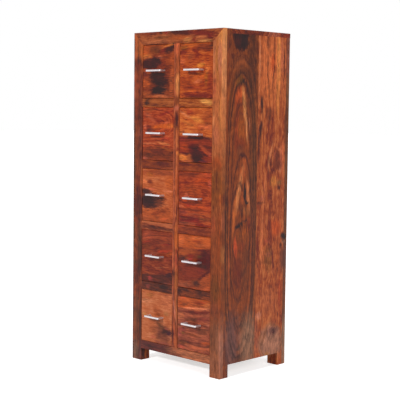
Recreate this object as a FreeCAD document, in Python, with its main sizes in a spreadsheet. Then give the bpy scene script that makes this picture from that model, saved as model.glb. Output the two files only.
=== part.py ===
import FreeCAD, Part
import os

import Sketcher

# A tall compact-disc chest in solid rosewood: ten flush drawers in two columns of five, in a mitred
# front frame on four corner posts.  Millimetres.  X runs to the right, Y from the front to the back
# and Z up from the floor; the origin is on the floor, midway across the width and midway between
# the handles' outer faces and the back.

# ---------------------------------------------------------------------------------------------
# Driving dimensions.  Every cell is a plain number with an alias.
# ---------------------------------------------------------------------------------------------
SIZES = {
    "Height": (1200, "floor to top"),
    "Width": (445, "over the side faces"),
    "Depth": (350, "front face to back face, without the handles"),
    "PostWidth": (47.5, "corner post, seen from the front"),
    "PostDepth": (42, "corner post, seen from the side"),
    "FaceBoard": (18, "outer of the two boards each post is glued from"),
    "TopRailHeight": (45, "mitred rail over the drawers"),
    "RailHeight": (30, "rails between and under the drawers"),
    "FootClearance": (45, "floor to the bottom rail and the side panels"),
    "StileWidth": (28, "upright between the two columns"),
    "TenonLength": (12, "stub tenon on a rail or stile"),
    "TenonThickness": (14, "stub tenon, front to back"),
    "TenonInset": (21, "front face to the tenon"),
    "TenonShoulder": (4, "shoulder above and below a rail's tenon"),
    "StileTenon": (14, "stile tenon, across"),
    "PanelThickness": (20, "solid side panels"),
    "PanelJoint": (181, "front face to the glue joint in a side panel"),
    "TongueThickness": (8, "tongue on a side panel"),
    "TongueDepth": (8, "tongue on a side panel or the top"),
    "TongueInset": (6, "outer face to the side panel's tongue"),
    "TopThickness": (16, "top board"),
    "TopTongue": (6, "tongue on the top board"),
    "TopTongueWidth": (380, "tongue on the top board, across"),
    "BottomThickness": (12, "bottom board"),
    "DividerThickness": (18, "partition between the columns"),
    "BackThickness": (6, "plywood back"),
    "BackInset": (2, "rear face of the posts to the back panel"),
    "BackRebate": (12, "lap of the back on the rear posts"),
    "LedgeWidth": (14, "part of a runner under the drawer side"),
    "GuideHeight": (18, "part of a runner beside the drawer side"),
    "StopLength": (10, "block that stops a closed drawer"),
    "StopHeight": (12, "block that stops a closed drawer"),
    "SplineThickness": (6, "loose tongue across a mitre, front to back"),
    "SplineWidth": (24, "loose tongue across a mitre, half in each part"),
    "SplineLength": (34, "loose tongue across a mitre, along the joint"),
    "Arris": (1.2, "eased outer edges"),
    "DrawerGap": (1.2, "gap round a drawer front"),
    "DrawerLength": (298, "front face to the rear end of the sides"),
    "FrontThickness": (18, "drawer front"),
    "FrontLap": (6, "wood left in front of the dovetail sockets"),
    "SideThickness": (11, "drawer side"),
    "SideHeight": (176, "drawer side"),
    "BackBoard": (10, "drawer back"),
    "BackDrop": (6, "drawer back below the top of the sides"),
    "DrawerBottom": (5, "plywood drawer bottom"),
    "GrooveHeight": (12, "runner to the drawer bottom"),
    "GrooveDepth": (5, "groove for the drawer bottom"),
    "TailWidth": (28, "dovetail at its wide end"),
    "TailSlope": (6, "length of a dovetail for each unit of flare"),
    "HandleCentres": (64, "middle of one leg to the middle of the other"),
    "HandleReach": (27, "front face to the bar's outer face"),
    "HandleBar": (6, "bar, front to back"),
    "HandleLeg": (10, "leg, across"),
    "HandleHeight": (6, "bar and legs, up and down"),
    "HandleRise": (3, "middle of the opening up to the middle of the handle"),
    "HandleRound": (3, "rounded outer corners"),
}

ROWS = 5
TAILS = 4
HANDS = {"left": -1, "right": 1}

doc = FreeCAD.newDocument("cd_chest")
sheet = doc.addObject("Spreadsheet::Sheet", "Sizes")
for row, (alias, (value, note)) in enumerate(SIZES.items(), start=1):
    sheet.set(f"A{row}", note)
    sheet.set(f"B{row}", str(value))
    sheet.setAlias(f"B{row}", alias)
doc.recompute()

# ---------------------------------------------------------------------------------------------
# Sizes worked out from the driving dimensions, as sheet expressions.
# ---------------------------------------------------------------------------------------------
FRONT = "((Sizes.HandleReach - Sizes.Depth) / 2)"
HALF_WIDTH = "(Sizes.Width / 2)"
HALF_INSIDE = "(Sizes.Width / 2 - Sizes.PostWidth)"
HALF_STILE = "(Sizes.StileWidth / 2)"
HALF_DIVIDER = "(Sizes.DividerThickness / 2)"
OPENING_WIDTH = "((Sizes.Width - 2 * Sizes.PostWidth - Sizes.StileWidth) / 2)"
OPENING_HEIGHT = (f"((Sizes.Height - Sizes.TopRailHeight - Sizes.FootClearance"
                  f" - {ROWS} * Sizes.RailHeight) / {ROWS})")
ROW_PITCH = f"({OPENING_HEIGHT} + Sizes.RailHeight)"
COLUMN_CENTRE = f"({HALF_STILE} + {OPENING_WIDTH} / 2)"
LOWEST_OPENING = "(Sizes.FootClearance + Sizes.RailHeight)"
UNDER_TOP_RAIL = "(Sizes.Height - Sizes.TopRailHeight)"
UNDER_TOP = "(Sizes.Height - Sizes.TopThickness)"
REAR_POST = "(Sizes.Depth - Sizes.PostDepth)"
INNER_BOARD = "(Sizes.PostDepth - Sizes.FaceBoard)"
BACK_FACE = "(Sizes.Depth - Sizes.BackInset - Sizes.BackThickness)"
RUNNER_LENGTH = "(Sizes.Depth - 2 * Sizes.PostDepth)"
HALF_DRAWER = f"({OPENING_WIDTH} / 2 - Sizes.DrawerGap)"


def number(expression):
    """Value of a sheet expression, in millimetres or degrees."""
    value = sheet.evalExpression(expression)
    return float(getattr(value, "Value", value))


def minus(expression):
    """The same size, measured the other way."""
    return f"-({expression})"


def plus(*expressions):
    """Sum of sheet expressions."""
    return "(" + " + ".join(expressions) + ")"


# ---------------------------------------------------------------------------------------------
# Sketches and features.
# ---------------------------------------------------------------------------------------------
def new_body(label, x="0", y="0", z="0"):
    """Empty body whose own origin stands at x, y, z of the chest."""
    body = doc.addObject("PartDesign::Body", label)
    body.Label = label
    body.AllowCompound = True
    place(body, x, y, z)
    return body


def place(item, x, y, z):
    """Bind an object's place to sheet expressions."""
    for axis, expression in zip("xyz", (x, y, z)):
        item.setExpression(f"Placement.Base.{axis}", expression)


def new_sketch(body, name, plane, offset="0"):
    """Sketch on one of the body's own origin planes, moved along that plane's normal."""
    sketch = body.newObject("Sketcher::SketchObject", name)
    support = next(item for item in body.Origin.OriginFeatures if item.Role == plane)
    sketch.AttachmentSupport = [(support, "")]
    sketch.MapMode = "FlatFace"
    sketch.setExpression("AttachmentOffset.Base.z", offset)
    return sketch


def fix_point(sketch, geometry, point_id, point):
    """Tie one point of a sketch to two sheet expressions."""
    for kind, expression in zip(("DistanceX", "DistanceY"), point):
        constraint = Sketcher.Constraint(kind, -1, 1, geometry, point_id, number(expression))
        index = sketch.addConstraint(constraint)
        sketch.setExpression(f"Constraints[{index}]", expression)


def outline(body, name, plane, *loops, offset="0"):
    """Sketch of closed straight-sided loops; every corner is a pair of sheet expressions."""
    sketch = new_sketch(body, name, plane, offset)
    for loop in loops:
        corners = [FreeCAD.Vector(number(x), number(y), 0) for x, y in loop]
        first = sketch.GeometryCount
        for start, end in zip(corners, corners[1:] + corners[:1]):
            sketch.addGeometry(Part.LineSegment(start, end), False)
        for index, point in enumerate(loop):
            following = first + (index + 1) % len(loop)
            sketch.addConstraint(Sketcher.Constraint("Coincident", first + index, 2, following, 1))
            fix_point(sketch, first + index, 1, point)
    return sketch


def rectangle(left, bottom, right, top):
    """Corners of an upright rectangle."""
    return [(left, bottom), (right, bottom), (right, top), (left, top)]


def extrude(body, kind, sketch, length, reverse=False):
    """Pad or pocket of a sketch."""
    feature = body.newObject(f"PartDesign::{kind}", f"{sketch.Name}_{kind.lower()}")
    feature.Profile = sketch
    feature.setExpression("Length", length)
    feature.Reversed = reverse
    return feature


def pad(body, sketch, length, reverse=False):
    """Pad along the sketch's normal: towards the front, the right or up unless reversed."""
    return extrude(body, "Pad", sketch, length, reverse)


def pocket(body, sketch, length, reverse=False):
    """Pocket against the sketch's normal: towards the back, the left or down unless reversed."""
    return extrude(body, "Pocket", sketch, length, reverse)


def repeat_upwards(body, features, count, pitch):
    """Repeat features of a body up the chest."""
    pattern = body.newObject("PartDesign::LinearPattern", f"{features[0].Name}_rows")
    pattern.Originals = features
    axis = next(item for item in body.Origin.OriginFeatures if item.Role == "Z_Axis")
    pattern.Direction = (axis, [""])
    span = f"{count - 1} * {pitch}"
    pattern.Length = number(span)
    pattern.setExpression("Length", span)
    pattern.Occurrences = count
    body.Tip = pattern
    return pattern


def ease(body, base, radius, wanted, kind="Chamfer"):
    """Chamfer or fillet the edges of a feature that wanted() picks by their two end points."""
    doc.recompute()
    names = []
    for index, edge in enumerate(base.Shape.Edges, start=1):
        ends = [vertex.Point for vertex in edge.Vertexes]
        if len(ends) == 2 and wanted(*ends):
            names.append(f"Edge{index}")
    feature = body.newObject(f"PartDesign::{kind}", f"{base.Name}_{kind.lower()}")
    feature.Base = (base, names)
    feature.setExpression("Size" if kind == "Chamfer" else "Radius", radius)
    return feature


def same(first, second):
    """Whether two lengths are equal to within modelling tolerance."""
    return abs(first - second) < 1e-4


def node(label, members, x="0", y="0", z="0"):
    """Sub-part made of the given solids, moved as one to x, y, z of the chest."""
    group = doc.addObject("Part::Compound", label)
    group.Label = label
    group.Links = members
    place(group, x, y, z)
    nodes.append(group)
    return group


nodes = []


# ---------------------------------------------------------------------------------------------
# Mitred front frame.
# ---------------------------------------------------------------------------------------------
def mitre_splines():
    """Loose tongue across each mitre, in the inner boards."""
    run = "sqrt(Sizes.PostWidth ^ 2 + Sizes.TopRailHeight ^ 2)"
    slope = "atan(Sizes.TopRailHeight / Sizes.PostWidth)"
    share = 0.45
    splines = []
    for side, hand in HANDS.items():
        spline = doc.addObject("Part::Box", f"spline_{side}")
        spline.setExpression("Length", "Sizes.SplineLength")
        spline.setExpression("Width", "Sizes.SplineThickness")
        spline.setExpression("Height", "Sizes.SplineWidth")
        spline.Placement.Rotation = FreeCAD.Rotation(FreeCAD.Vector(0, -hand, 0), 1)
        spline.setExpression("Placement.Rotation.Angle", slope)
        across = f"({HALF_INSIDE} + {share} * Sizes.PostWidth)"
        height = f"({UNDER_TOP_RAIL} + {share} * Sizes.TopRailHeight)"
        along_x = f"(Sizes.SplineLength / 2 * Sizes.PostWidth / {run})"
        along_z = f"(Sizes.SplineLength / 2 * Sizes.TopRailHeight / {run})"
        normal_x = f"(Sizes.SplineWidth / 2 * Sizes.TopRailHeight / {run})"
        normal_z = f"(Sizes.SplineWidth / 2 * Sizes.PostWidth / {run})"
        rise = "+" if hand < 0 else "-"
        place(spline, f"{hand} * ({across} + {normal_x}) - {along_x}",
              f"{FRONT} + Sizes.FaceBoard + ({INNER_BOARD} - Sizes.SplineThickness) / 2",
              f"{height} {rise} {along_z} - {normal_z}")
        splines.append(spline)
    return node("mitre_splines", splines)


def slotted(label, body, splines):
    """Body with the slots for the loose tongues cut in it."""
    cut = doc.addObject("Part::Cut", label)
    cut.Base = body
    cut.Tool = splines
    return cut


def front_post(side, hand, splines):
    """Post of two full-height boards; the inner one is mortised for the rails and grooved."""
    x = f"{hand} * {HALF_INSIDE}"
    outer = f"{hand} * Sizes.PostWidth"
    front_view = [("0", "0"), (outer, "0"), (outer, "Sizes.Height"), ("0", UNDER_TOP_RAIL)]

    face = new_body(f"front_post_{side}_face", x, FRONT)
    board = pad(face, outline(face, f"face_{side}", "XZ_Plane", front_view), "Sizes.FaceBoard", True)
    ease(face, board, "Sizes.Arris", lambda a, b: same(a.y, 0) and same(b.y, 0)
         and same(a.x, number(outer)) and same(b.x, number(outer)))

    inner = new_body(f"front_post_{side}_inner", x, f"{FRONT} + Sizes.FaceBoard")
    pad(inner, outline(inner, f"inner_{side}", "XZ_Plane", front_view), INNER_BOARD, True)
    near = "(Sizes.TenonInset - Sizes.FaceBoard)"
    low = "Sizes.FootClearance + Sizes.TenonShoulder"
    high = "Sizes.FootClearance + Sizes.RailHeight - Sizes.TenonShoulder"
    mortise = outline(inner, f"mortise_{side}", "YZ_Plane",
                      rectangle(near, low, plus(near, "Sizes.TenonThickness"), high))
    cut = pocket(inner, mortise, "Sizes.TenonLength", hand > 0)
    repeat_upwards(inner, [cut], ROWS, ROW_PITCH)
    groove = outline(inner, f"groove_{side}", "XY_Plane",
                     rectangle(f"{hand} * (Sizes.PostWidth - Sizes.TongueInset)",
                               f"{INNER_BOARD} - Sizes.TongueDepth",
                               f"{hand} * (Sizes.PostWidth - Sizes.TongueInset"
                               " - Sizes.TongueThickness)", INNER_BOARD), offset=UNDER_TOP)
    pocket(inner, groove, f"{UNDER_TOP} - Sizes.FootClearance")
    node(f"front_post_{side}", [face, slotted(f"front_post_{side}_slotted", inner, splines)])


def top_rail(splines):
    """Rail over the drawers, mitred into the posts, of two boards like them."""
    front_view = [(minus(HALF_WIDTH), "Sizes.TopRailHeight"), (minus(HALF_INSIDE), "0"),
                  (HALF_INSIDE, "0"), (HALF_WIDTH, "Sizes.TopRailHeight")]
    face = new_body("top_rail_face", "0", FRONT, UNDER_TOP_RAIL)
    board = pad(face, outline(face, "rail_face", "XZ_Plane", front_view), "Sizes.FaceBoard", True)
    top = number("Sizes.TopRailHeight")
    ease(face, board, "Sizes.Arris", lambda a, b: same(a.y, 0) and same(b.y, 0)
         and same(a.z, top) and same(b.z, top))

    inner = new_body("top_rail_inner", "0", f"{FRONT} + Sizes.FaceBoard", UNDER_TOP_RAIL)
    pad(inner, outline(inner, "rail_inner", "XZ_Plane", front_view), INNER_BOARD, True)
    near = "(Sizes.TenonInset - Sizes.FaceBoard)"
    half = "(Sizes.StileTenon / 2)"
    mortise = outline(inner, "rail_mortise", "XY_Plane",
                      rectangle(minus(half), near, half, plus(near, "Sizes.TenonThickness")))
    pocket(inner, mortise, "Sizes.TenonLength", True)
    above = "(Sizes.TopThickness - Sizes.TopTongue) / 2"
    groove = outline(inner, "rail_groove", "XZ_Plane",
                     rectangle("-Sizes.TopTongueWidth / 2",
                               f"Sizes.TopRailHeight - {above} - Sizes.TopTongue",
                               "Sizes.TopTongueWidth / 2", f"Sizes.TopRailHeight - {above}"),
                     offset=f"Sizes.TongueDepth - {INNER_BOARD}")
    pocket(inner, groove, "Sizes.TongueDepth")
    node("top_rail", [face, slotted("top_rail_slotted", inner, splines)])


def tenoned_rail(body, name, half_length, height, depth, tenon_inset):
    """Rail along X with a stub tenon at both ends; its lower front corner line is the origin's."""
    block = pad(body, outline(body, f"{name}_block", "XZ_Plane",
                              rectangle(minus(half_length), "0", half_length, height)), depth, True)
    reach = plus(half_length, "Sizes.TenonLength")
    bar = outline(body, f"{name}_tenons", "XZ_Plane",
                  rectangle(minus(reach), "Sizes.TenonShoulder", reach,
                            f"{height} - Sizes.TenonShoulder"), offset=minus(tenon_inset))
    return [block, pad(body, bar, "Sizes.TenonThickness", True)]


def bottom_rail():
    """Rail under the lowest drawers, with a mortise for the centre stile."""
    body = new_body("bottom_rail_body", "0", FRONT, "Sizes.FootClearance")
    tenoned_rail(body, "bottom", HALF_INSIDE, "Sizes.RailHeight", "Sizes.PostDepth",
                 "Sizes.TenonInset")
    half = "(Sizes.StileTenon / 2)"
    mortise = outline(body, "bottom_mortise", "XY_Plane",
                      rectangle(minus(half), "Sizes.TenonInset", half,
                                "Sizes.TenonInset + Sizes.TenonThickness"),
                      offset="Sizes.RailHeight")
    pocket(body, mortise, "Sizes.TenonLength")
    node("bottom_rail", [body])


def centre_stile():
    """Upright between the columns, tenoned into both rails and mortised for the short rails."""
    body = new_body("centre_stile_body", "0", FRONT, LOWEST_OPENING)
    height = f"({UNDER_TOP_RAIL} - {LOWEST_OPENING})"
    half = "(Sizes.StileTenon / 2)"
    pad(body, outline(body, "stile_block", "XZ_Plane",
                      rectangle(minus(HALF_STILE), "0", HALF_STILE, height)), "Sizes.PostDepth", True)
    tenons = outline(body, "stile_tenons", "XZ_Plane",
                     rectangle(minus(half), "-Sizes.TenonLength", half,
                               plus(height, "Sizes.TenonLength")), offset="-Sizes.TenonInset")
    pad(body, tenons, "Sizes.TenonThickness", True)
    low = f"{OPENING_HEIGHT} + Sizes.TenonShoulder"
    high = f"{ROW_PITCH} - Sizes.TenonShoulder"
    far = "Sizes.TenonInset + Sizes.TenonThickness"
    for side, hand in HANDS.items():
        mortise = outline(body, f"stile_mortise_{side}", "YZ_Plane",
                          rectangle("Sizes.TenonInset", low, far, high),
                          offset=f"{hand} * {HALF_STILE}")
        cut = pocket(body, mortise, "Sizes.TenonLength", hand < 0)
        repeat_upwards(body, [cut], ROWS - 1, ROW_PITCH)
    node("centre_stile", [body])


def drawer_rails(side, hand):
    """The four short rails between the drawers of one column."""
    body = new_body(f"drawer_rails_{side}_body", f"{hand} * {COLUMN_CENTRE}", FRONT,
                    plus(LOWEST_OPENING, OPENING_HEIGHT))
    features = tenoned_rail(body, f"short_{side}", f"({OPENING_WIDTH} / 2)", "Sizes.RailHeight",
                            "Sizes.PostDepth", "Sizes.TenonInset")
    repeat_upwards(body, features, ROWS - 1, ROW_PITCH)
    node(f"drawer_rails_{side}", [body])


# ---------------------------------------------------------------------------------------------
# Sides, top, bottom and back of the case.
# ---------------------------------------------------------------------------------------------
REAR_RAIL_DEPTH = "(Sizes.PostDepth - Sizes.BackInset - Sizes.BackThickness)"
REAR_TENON_INSET = f"(({INNER_BOARD} - Sizes.TenonThickness) / 2)"
REAR_RAIL_HEIGHTS = {"low": "Sizes.FootClearance", "high": f"({UNDER_TOP} - Sizes.RailHeight)"}


def rear_post(side, hand):
    """Post up to the top board: an inner board and a rear board rebated for the back panel."""
    x = f"{hand} * {HALF_INSIDE}"
    outer = f"{hand} * Sizes.PostWidth"
    inner = new_body(f"rear_post_{side}_inner", x, plus(FRONT, REAR_POST))
    pad(inner, outline(inner, f"rear_inner_{side}", "XZ_Plane",
                       rectangle("0", "0", outer, UNDER_TOP)), INNER_BOARD, True)
    groove = outline(inner, f"rear_groove_{side}", "XY_Plane",
                     rectangle(f"{hand} * (Sizes.PostWidth - Sizes.TongueInset)", "0",
                               f"{hand} * (Sizes.PostWidth - Sizes.TongueInset"
                               " - Sizes.TongueThickness)", "Sizes.TongueDepth"), offset=UNDER_TOP)
    pocket(inner, groove, f"{UNDER_TOP} - Sizes.FootClearance")
    for level, height in REAR_RAIL_HEIGHTS.items():
        mortise = outline(inner, f"rear_mortise_{side}_{level}", "YZ_Plane",
                          rectangle(REAR_TENON_INSET, f"{height} + Sizes.TenonShoulder",
                                    f"{REAR_TENON_INSET} + Sizes.TenonThickness",
                                    f"{height} + Sizes.RailHeight - Sizes.TenonShoulder"))
        pocket(inner, mortise, "Sizes.TenonLength", hand > 0)

    face = new_body(f"rear_post_{side}_face", x, f"{FRONT} + {REAR_POST} + {INNER_BOARD}")
    board = pad(face, outline(face, f"rear_face_{side}", "XZ_Plane",
                              rectangle("0", "0", outer, UNDER_TOP)), "Sizes.FaceBoard", True)
    ease(face, board, "Sizes.Arris", lambda a, b: same(a.y, number("Sizes.FaceBoard"))
         and same(b.y, number("Sizes.FaceBoard")) and same(a.x, number(outer))
         and same(b.x, number(outer)))
    rebate = outline(face, f"rebate_{side}", "XY_Plane",
                     rectangle("0", "Sizes.FaceBoard - Sizes.BackInset - Sizes.BackThickness",
                               f"{hand} * Sizes.BackRebate", "Sizes.FaceBoard"), offset=UNDER_TOP)
    pocket(face, rebate, f"{UNDER_TOP} - Sizes.FootClearance")
    node(f"rear_post_{side}", [inner, face])


def rear_rails():
    """Low and high rail between the rear posts."""
    rails = []
    for level, height in REAR_RAIL_HEIGHTS.items():
        body = new_body(f"rear_rail_{level}", "0", plus(FRONT, REAR_POST), height)
        tenoned_rail(body, f"rear_{level}", HALF_INSIDE, "Sizes.RailHeight", REAR_RAIL_DEPTH,
                     REAR_TENON_INSET)
        rails.append(body)
    node("rear_rails", rails)


def side_panel(side, hand):
    """Two upright boards glued edge to edge, tongued into the posts, flush with their outside."""
    inside = f"{hand} * ({HALF_WIDTH} - Sizes.PanelThickness)"
    outside = f"{hand} * {HALF_WIDTH}"
    tongue_out = f"{hand} * ({HALF_WIDTH} - Sizes.TongueInset)"
    tongue_in = f"{hand} * ({HALF_WIDTH} - Sizes.TongueInset - Sizes.TongueThickness)"
    boards = []
    spans = {"front": ("Sizes.PostDepth", "Sizes.PostDepth - Sizes.TongueDepth"),
             "rear": (REAR_POST, f"{REAR_POST} + Sizes.TongueDepth")}
    for part, (edge, tongue) in spans.items():
        body = new_body(f"side_panel_{side}_{part}", "0", FRONT, "Sizes.FootClearance")
        plan = [(inside, "Sizes.PanelJoint"), (inside, edge), (tongue_in, edge),
                (tongue_in, tongue), (tongue_out, tongue), (tongue_out, edge), (outside, edge),
                (outside, "Sizes.PanelJoint")]
        pad(body, outline(body, f"panel_{side}_{part}", "XY_Plane", plan),
            f"{UNDER_TOP} - Sizes.FootClearance")
        boards.append(body)
    node(f"side_panel_{side}", boards)


def top_board():
    """Board behind the top rail, over the panels and rear posts, tongued into the rail."""
    body = new_body("top_board_body", "0", FRONT, UNDER_TOP)
    board = pad(body, outline(body, "top_plan", "XY_Plane",
                              rectangle(minus(HALF_WIDTH), "Sizes.PostDepth", HALF_WIDTH,
                                        "Sizes.Depth")), "Sizes.TopThickness")
    edges = [number(minus(HALF_WIDTH)), number(HALF_WIDTH)]
    thickness = number("Sizes.TopThickness")
    ease(body, board, "Sizes.Arris", lambda a, b: same(a.z, thickness) and same(b.z, thickness)
         and (same(a.y, number("Sizes.Depth")) and same(b.y, number("Sizes.Depth"))
              or any(same(a.x, edge) and same(b.x, edge) for edge in edges)))
    tongue = outline(body, "top_tongue", "XY_Plane",
                     rectangle("-Sizes.TopTongueWidth / 2",
                               "Sizes.PostDepth - Sizes.TongueDepth",
                               "Sizes.TopTongueWidth / 2", "Sizes.PostDepth"),
                     offset="(Sizes.TopThickness - Sizes.TopTongue) / 2")
    pad(body, tongue, "Sizes.TopTongue")
    node("top_board", [body])


def bottom_board():
    """Board level with the lower edges of the rails, between the side panels."""
    body = new_body("bottom_board_body", "0", f"{FRONT} + Sizes.PostDepth", "Sizes.FootClearance")
    half = f"({HALF_WIDTH} - Sizes.PanelThickness)"
    pad(body, outline(body, "bottom_plan", "XY_Plane",
                      rectangle(minus(half), "0", half, RUNNER_LENGTH)), "Sizes.BottomThickness")
    node("bottom_board", [body])


def centre_divider():
    """Partition from the bottom board to the top, notched round the rear rails."""
    body = new_body("centre_divider_body", minus(HALF_DIVIDER), FRONT)
    floor = "(Sizes.FootClearance + Sizes.BottomThickness)"
    side_view = [("Sizes.PostDepth", floor), (REAR_POST, floor), (REAR_POST, LOWEST_OPENING),
                 (BACK_FACE, LOWEST_OPENING), (BACK_FACE, f"{UNDER_TOP} - Sizes.RailHeight"),
                 (REAR_POST, f"{UNDER_TOP} - Sizes.RailHeight"), (REAR_POST, UNDER_TOP),
                 ("Sizes.PostDepth", UNDER_TOP)]
    pad(body, outline(body, "divider_side", "YZ_Plane", side_view), "Sizes.DividerThickness")
    node("centre_divider", [body])


def back_panel():
    """Thin panel sunk in the rebates of the rear posts, against the rear rails and the divider."""
    body = new_body("back_panel_body", "0", plus(FRONT, BACK_FACE))
    half = f"({HALF_INSIDE} + Sizes.BackRebate)"
    pad(body, outline(body, "panel_face", "XZ_Plane",
                      rectangle(minus(half), "Sizes.FootClearance", half, UNDER_TOP)),
        "Sizes.BackThickness", True)
    node("back_panel", [body])


def drawer_runners(side, hand):
    """L-section runners on both sides of each drawer, with a stop block at the rear end."""
    body = new_body(f"drawer_runners_{side}_body", f"{hand} * {COLUMN_CENTRE}",
                    f"{FRONT} + Sizes.PostDepth", LOWEST_OPENING)
    opening = f"({OPENING_WIDTH} / 2)"
    ledge = f"({opening} - Sizes.LedgeWidth)"
    outer = f"({opening} + Sizes.PostWidth - Sizes.PanelThickness)"
    inner = f"({opening} + {HALF_STILE} - {HALF_DIVIDER})"
    flanks = ((hand, outer), (-hand, inner))

    def level(name, base, under):
        """Pads of one drawer's two runners; base is the ledge's height in the body."""
        sections = [[(f"{way} * {ledge}", f"{base} - {under}"),
                     (f"{way} * {wall}", f"{base} - {under}"),
                     (f"{way} * {wall}", f"{base} + Sizes.GuideHeight"),
                     (f"{way} * {opening}", f"{base} + Sizes.GuideHeight"),
                     (f"{way} * {opening}", base),
                     (f"{way} * {ledge}", base)] for way, wall in flanks]
        stops = [rectangle(f"{way} * {ledge}", base, f"{way} * {opening}",
                           f"{base} + Sizes.StopHeight") for way, wall in flanks]
        runners = pad(body, outline(body, f"runners_{side}_{name}", "XZ_Plane", *sections),
                      RUNNER_LENGTH, True)
        blocks = pad(body, outline(body, f"stops_{side}_{name}", "XZ_Plane", *stops,
                                   offset=f"Sizes.StopLength - {RUNNER_LENGTH}"),
                     "Sizes.StopLength", True)
        return [runners, blocks]

    upper = level("upper", ROW_PITCH, "Sizes.RailHeight")
    repeat_upwards(body, upper, ROWS - 1, ROW_PITCH)
    level("lowest", "0", "(Sizes.RailHeight - Sizes.BottomThickness)")
    node(f"drawer_runners_{side}", [body])


# ---------------------------------------------------------------------------------------------
# One drawer.  Its origin is midway across the opening, at the front face and on the runners.
# ---------------------------------------------------------------------------------------------
TAIL_PITCH = f"(Sizes.SideHeight / {TAILS})"
SIDE_START = "Sizes.FrontThickness"
SIDE_END = "(Sizes.DrawerLength - Sizes.BackBoard)"
HALF_CLEAR = f"({HALF_DRAWER} - Sizes.SideThickness)"
BACK_BOTTOM = "(Sizes.GrooveHeight + Sizes.DrawerBottom)"
HANDLE_LEVEL = f"({OPENING_HEIGHT} / 2 + Sizes.HandleRise)"


def tails(narrow, wide):
    """Side view of the dovetails between two depths, wider at the second; one loop a tail."""
    flare = f"(abs({wide} - ({narrow})) / Sizes.TailSlope)"
    loops = []
    for index in range(TAILS):
        middle = f"({index} + 0.5) * {TAIL_PITCH}"
        loops.append([(narrow, f"{middle} - Sizes.TailWidth / 2 + {flare}"),
                      (wide, f"{middle} - Sizes.TailWidth / 2"),
                      (wide, f"{middle} + Sizes.TailWidth / 2"),
                      (narrow, f"{middle} + Sizes.TailWidth / 2 - {flare}")])
    return loops


def drawer_front():
    """Front with lapped dovetail sockets and a groove for the bottom."""
    body = new_body("drawer_front_body")
    board = pad(body, outline(body, "front_view", "XZ_Plane",
                              rectangle(minus(HALF_DRAWER), "Sizes.DrawerGap", HALF_DRAWER,
                                        f"{OPENING_HEIGHT} - Sizes.DrawerGap")),
                "Sizes.FrontThickness", True)
    ease(body, board, "Sizes.Arris", lambda a, b: same(a.y, 0) and same(b.y, 0))
    for side, hand in HANDS.items():
        sockets = outline(body, f"sockets_{side}", "YZ_Plane", *tails(SIDE_START, "Sizes.FrontLap"),
                          offset=f"{hand} * {HALF_DRAWER}")
        pocket(body, sockets, "Sizes.SideThickness", hand < 0)
    groove = outline(body, "front_groove", "XZ_Plane",
                     rectangle(f"-({HALF_CLEAR} + Sizes.GrooveDepth)", "Sizes.GrooveHeight",
                               f"({HALF_CLEAR} + Sizes.GrooveDepth)", BACK_BOTTOM),
                     offset="Sizes.GrooveDepth - Sizes.FrontThickness")
    pocket(body, groove, "Sizes.GrooveDepth")
    return body


def drawer_side(side, hand):
    """Side with lapped tails at the front, through tails at the rear and a groove."""
    outer = f"{hand} * {HALF_DRAWER}"
    body = new_body(f"drawer_side_{side}_body", outer)
    inward = hand < 0
    pad(body, outline(body, f"board_{side}", "YZ_Plane",
                      rectangle(SIDE_START, "0", SIDE_END, "Sizes.SideHeight")),
        "Sizes.SideThickness", not inward)
    for end, narrow, wide in (("front", SIDE_START, "Sizes.FrontLap"),
                              ("rear", SIDE_END, "Sizes.DrawerLength")):
        pad(body, outline(body, f"tails_{side}_{end}", "YZ_Plane", *tails(narrow, wide)),
            "Sizes.SideThickness", not inward)
    groove = outline(body, f"side_groove_{side}", "YZ_Plane",
                     rectangle("Sizes.FrontLap", "Sizes.GrooveHeight", "Sizes.DrawerLength",
                               BACK_BOTTOM), offset=f"{-hand} * Sizes.SideThickness")
    pocket(body, groove, "Sizes.GrooveDepth", hand > 0)
    return body


def drawer_back():
    """Back above the drawer's bottom, with sockets for the through tails."""
    body = new_body("drawer_back_body")
    pad(body, outline(body, "back_view", "XZ_Plane",
                      rectangle(minus(HALF_DRAWER), BACK_BOTTOM, HALF_DRAWER,
                                "Sizes.SideHeight - Sizes.BackDrop"), offset=minus(SIDE_END)),
        "Sizes.BackBoard", True)
    for side, hand in HANDS.items():
        sockets = outline(body, f"back_sockets_{side}", "YZ_Plane",
                          *tails(SIDE_END, "Sizes.DrawerLength"),
                          offset=f"{hand} * {HALF_DRAWER}")
        pocket(body, sockets, "Sizes.SideThickness", hand < 0)
    return body


def drawer_bottom():
    """Plywood bottom, slid in from the rear under the back."""
    body = new_body("drawer_bottom_body", z="Sizes.GrooveHeight")
    half = f"({HALF_CLEAR} + Sizes.GrooveDepth)"
    pad(body, outline(body, "bottom_view", "XY_Plane",
                      rectangle(minus(half), "Sizes.FrontThickness - Sizes.GrooveDepth", half,
                                "Sizes.DrawerLength")), "Sizes.DrawerBottom")
    return body


def handle():
    """U-shaped pull: a square bar between two legs that stand on the drawer front."""
    body = new_body("handle_body", z=f"{HANDLE_LEVEL} - Sizes.HandleHeight / 2")
    half = "((Sizes.HandleCentres + Sizes.HandleLeg) / 2)"
    clear = f"({half} - Sizes.HandleLeg)"
    outer = "-Sizes.HandleReach"
    inner = "(Sizes.HandleBar - Sizes.HandleReach)"
    plan = [(minus(half), "0"), (minus(half), outer), (half, outer), (half, "0"), (clear, "0"),
            (clear, inner), (minus(clear), inner), (minus(clear), "0")]
    bar = pad(body, outline(body, "handle_plan", "XY_Plane", plan), "Sizes.HandleHeight")
    front = number(outer)
    ease(body, bar, "Sizes.HandleRound", lambda a, b: same(a.y, front) and same(b.y, front)
         and same(a.x, b.x), kind="Fillet")
    return body


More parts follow.
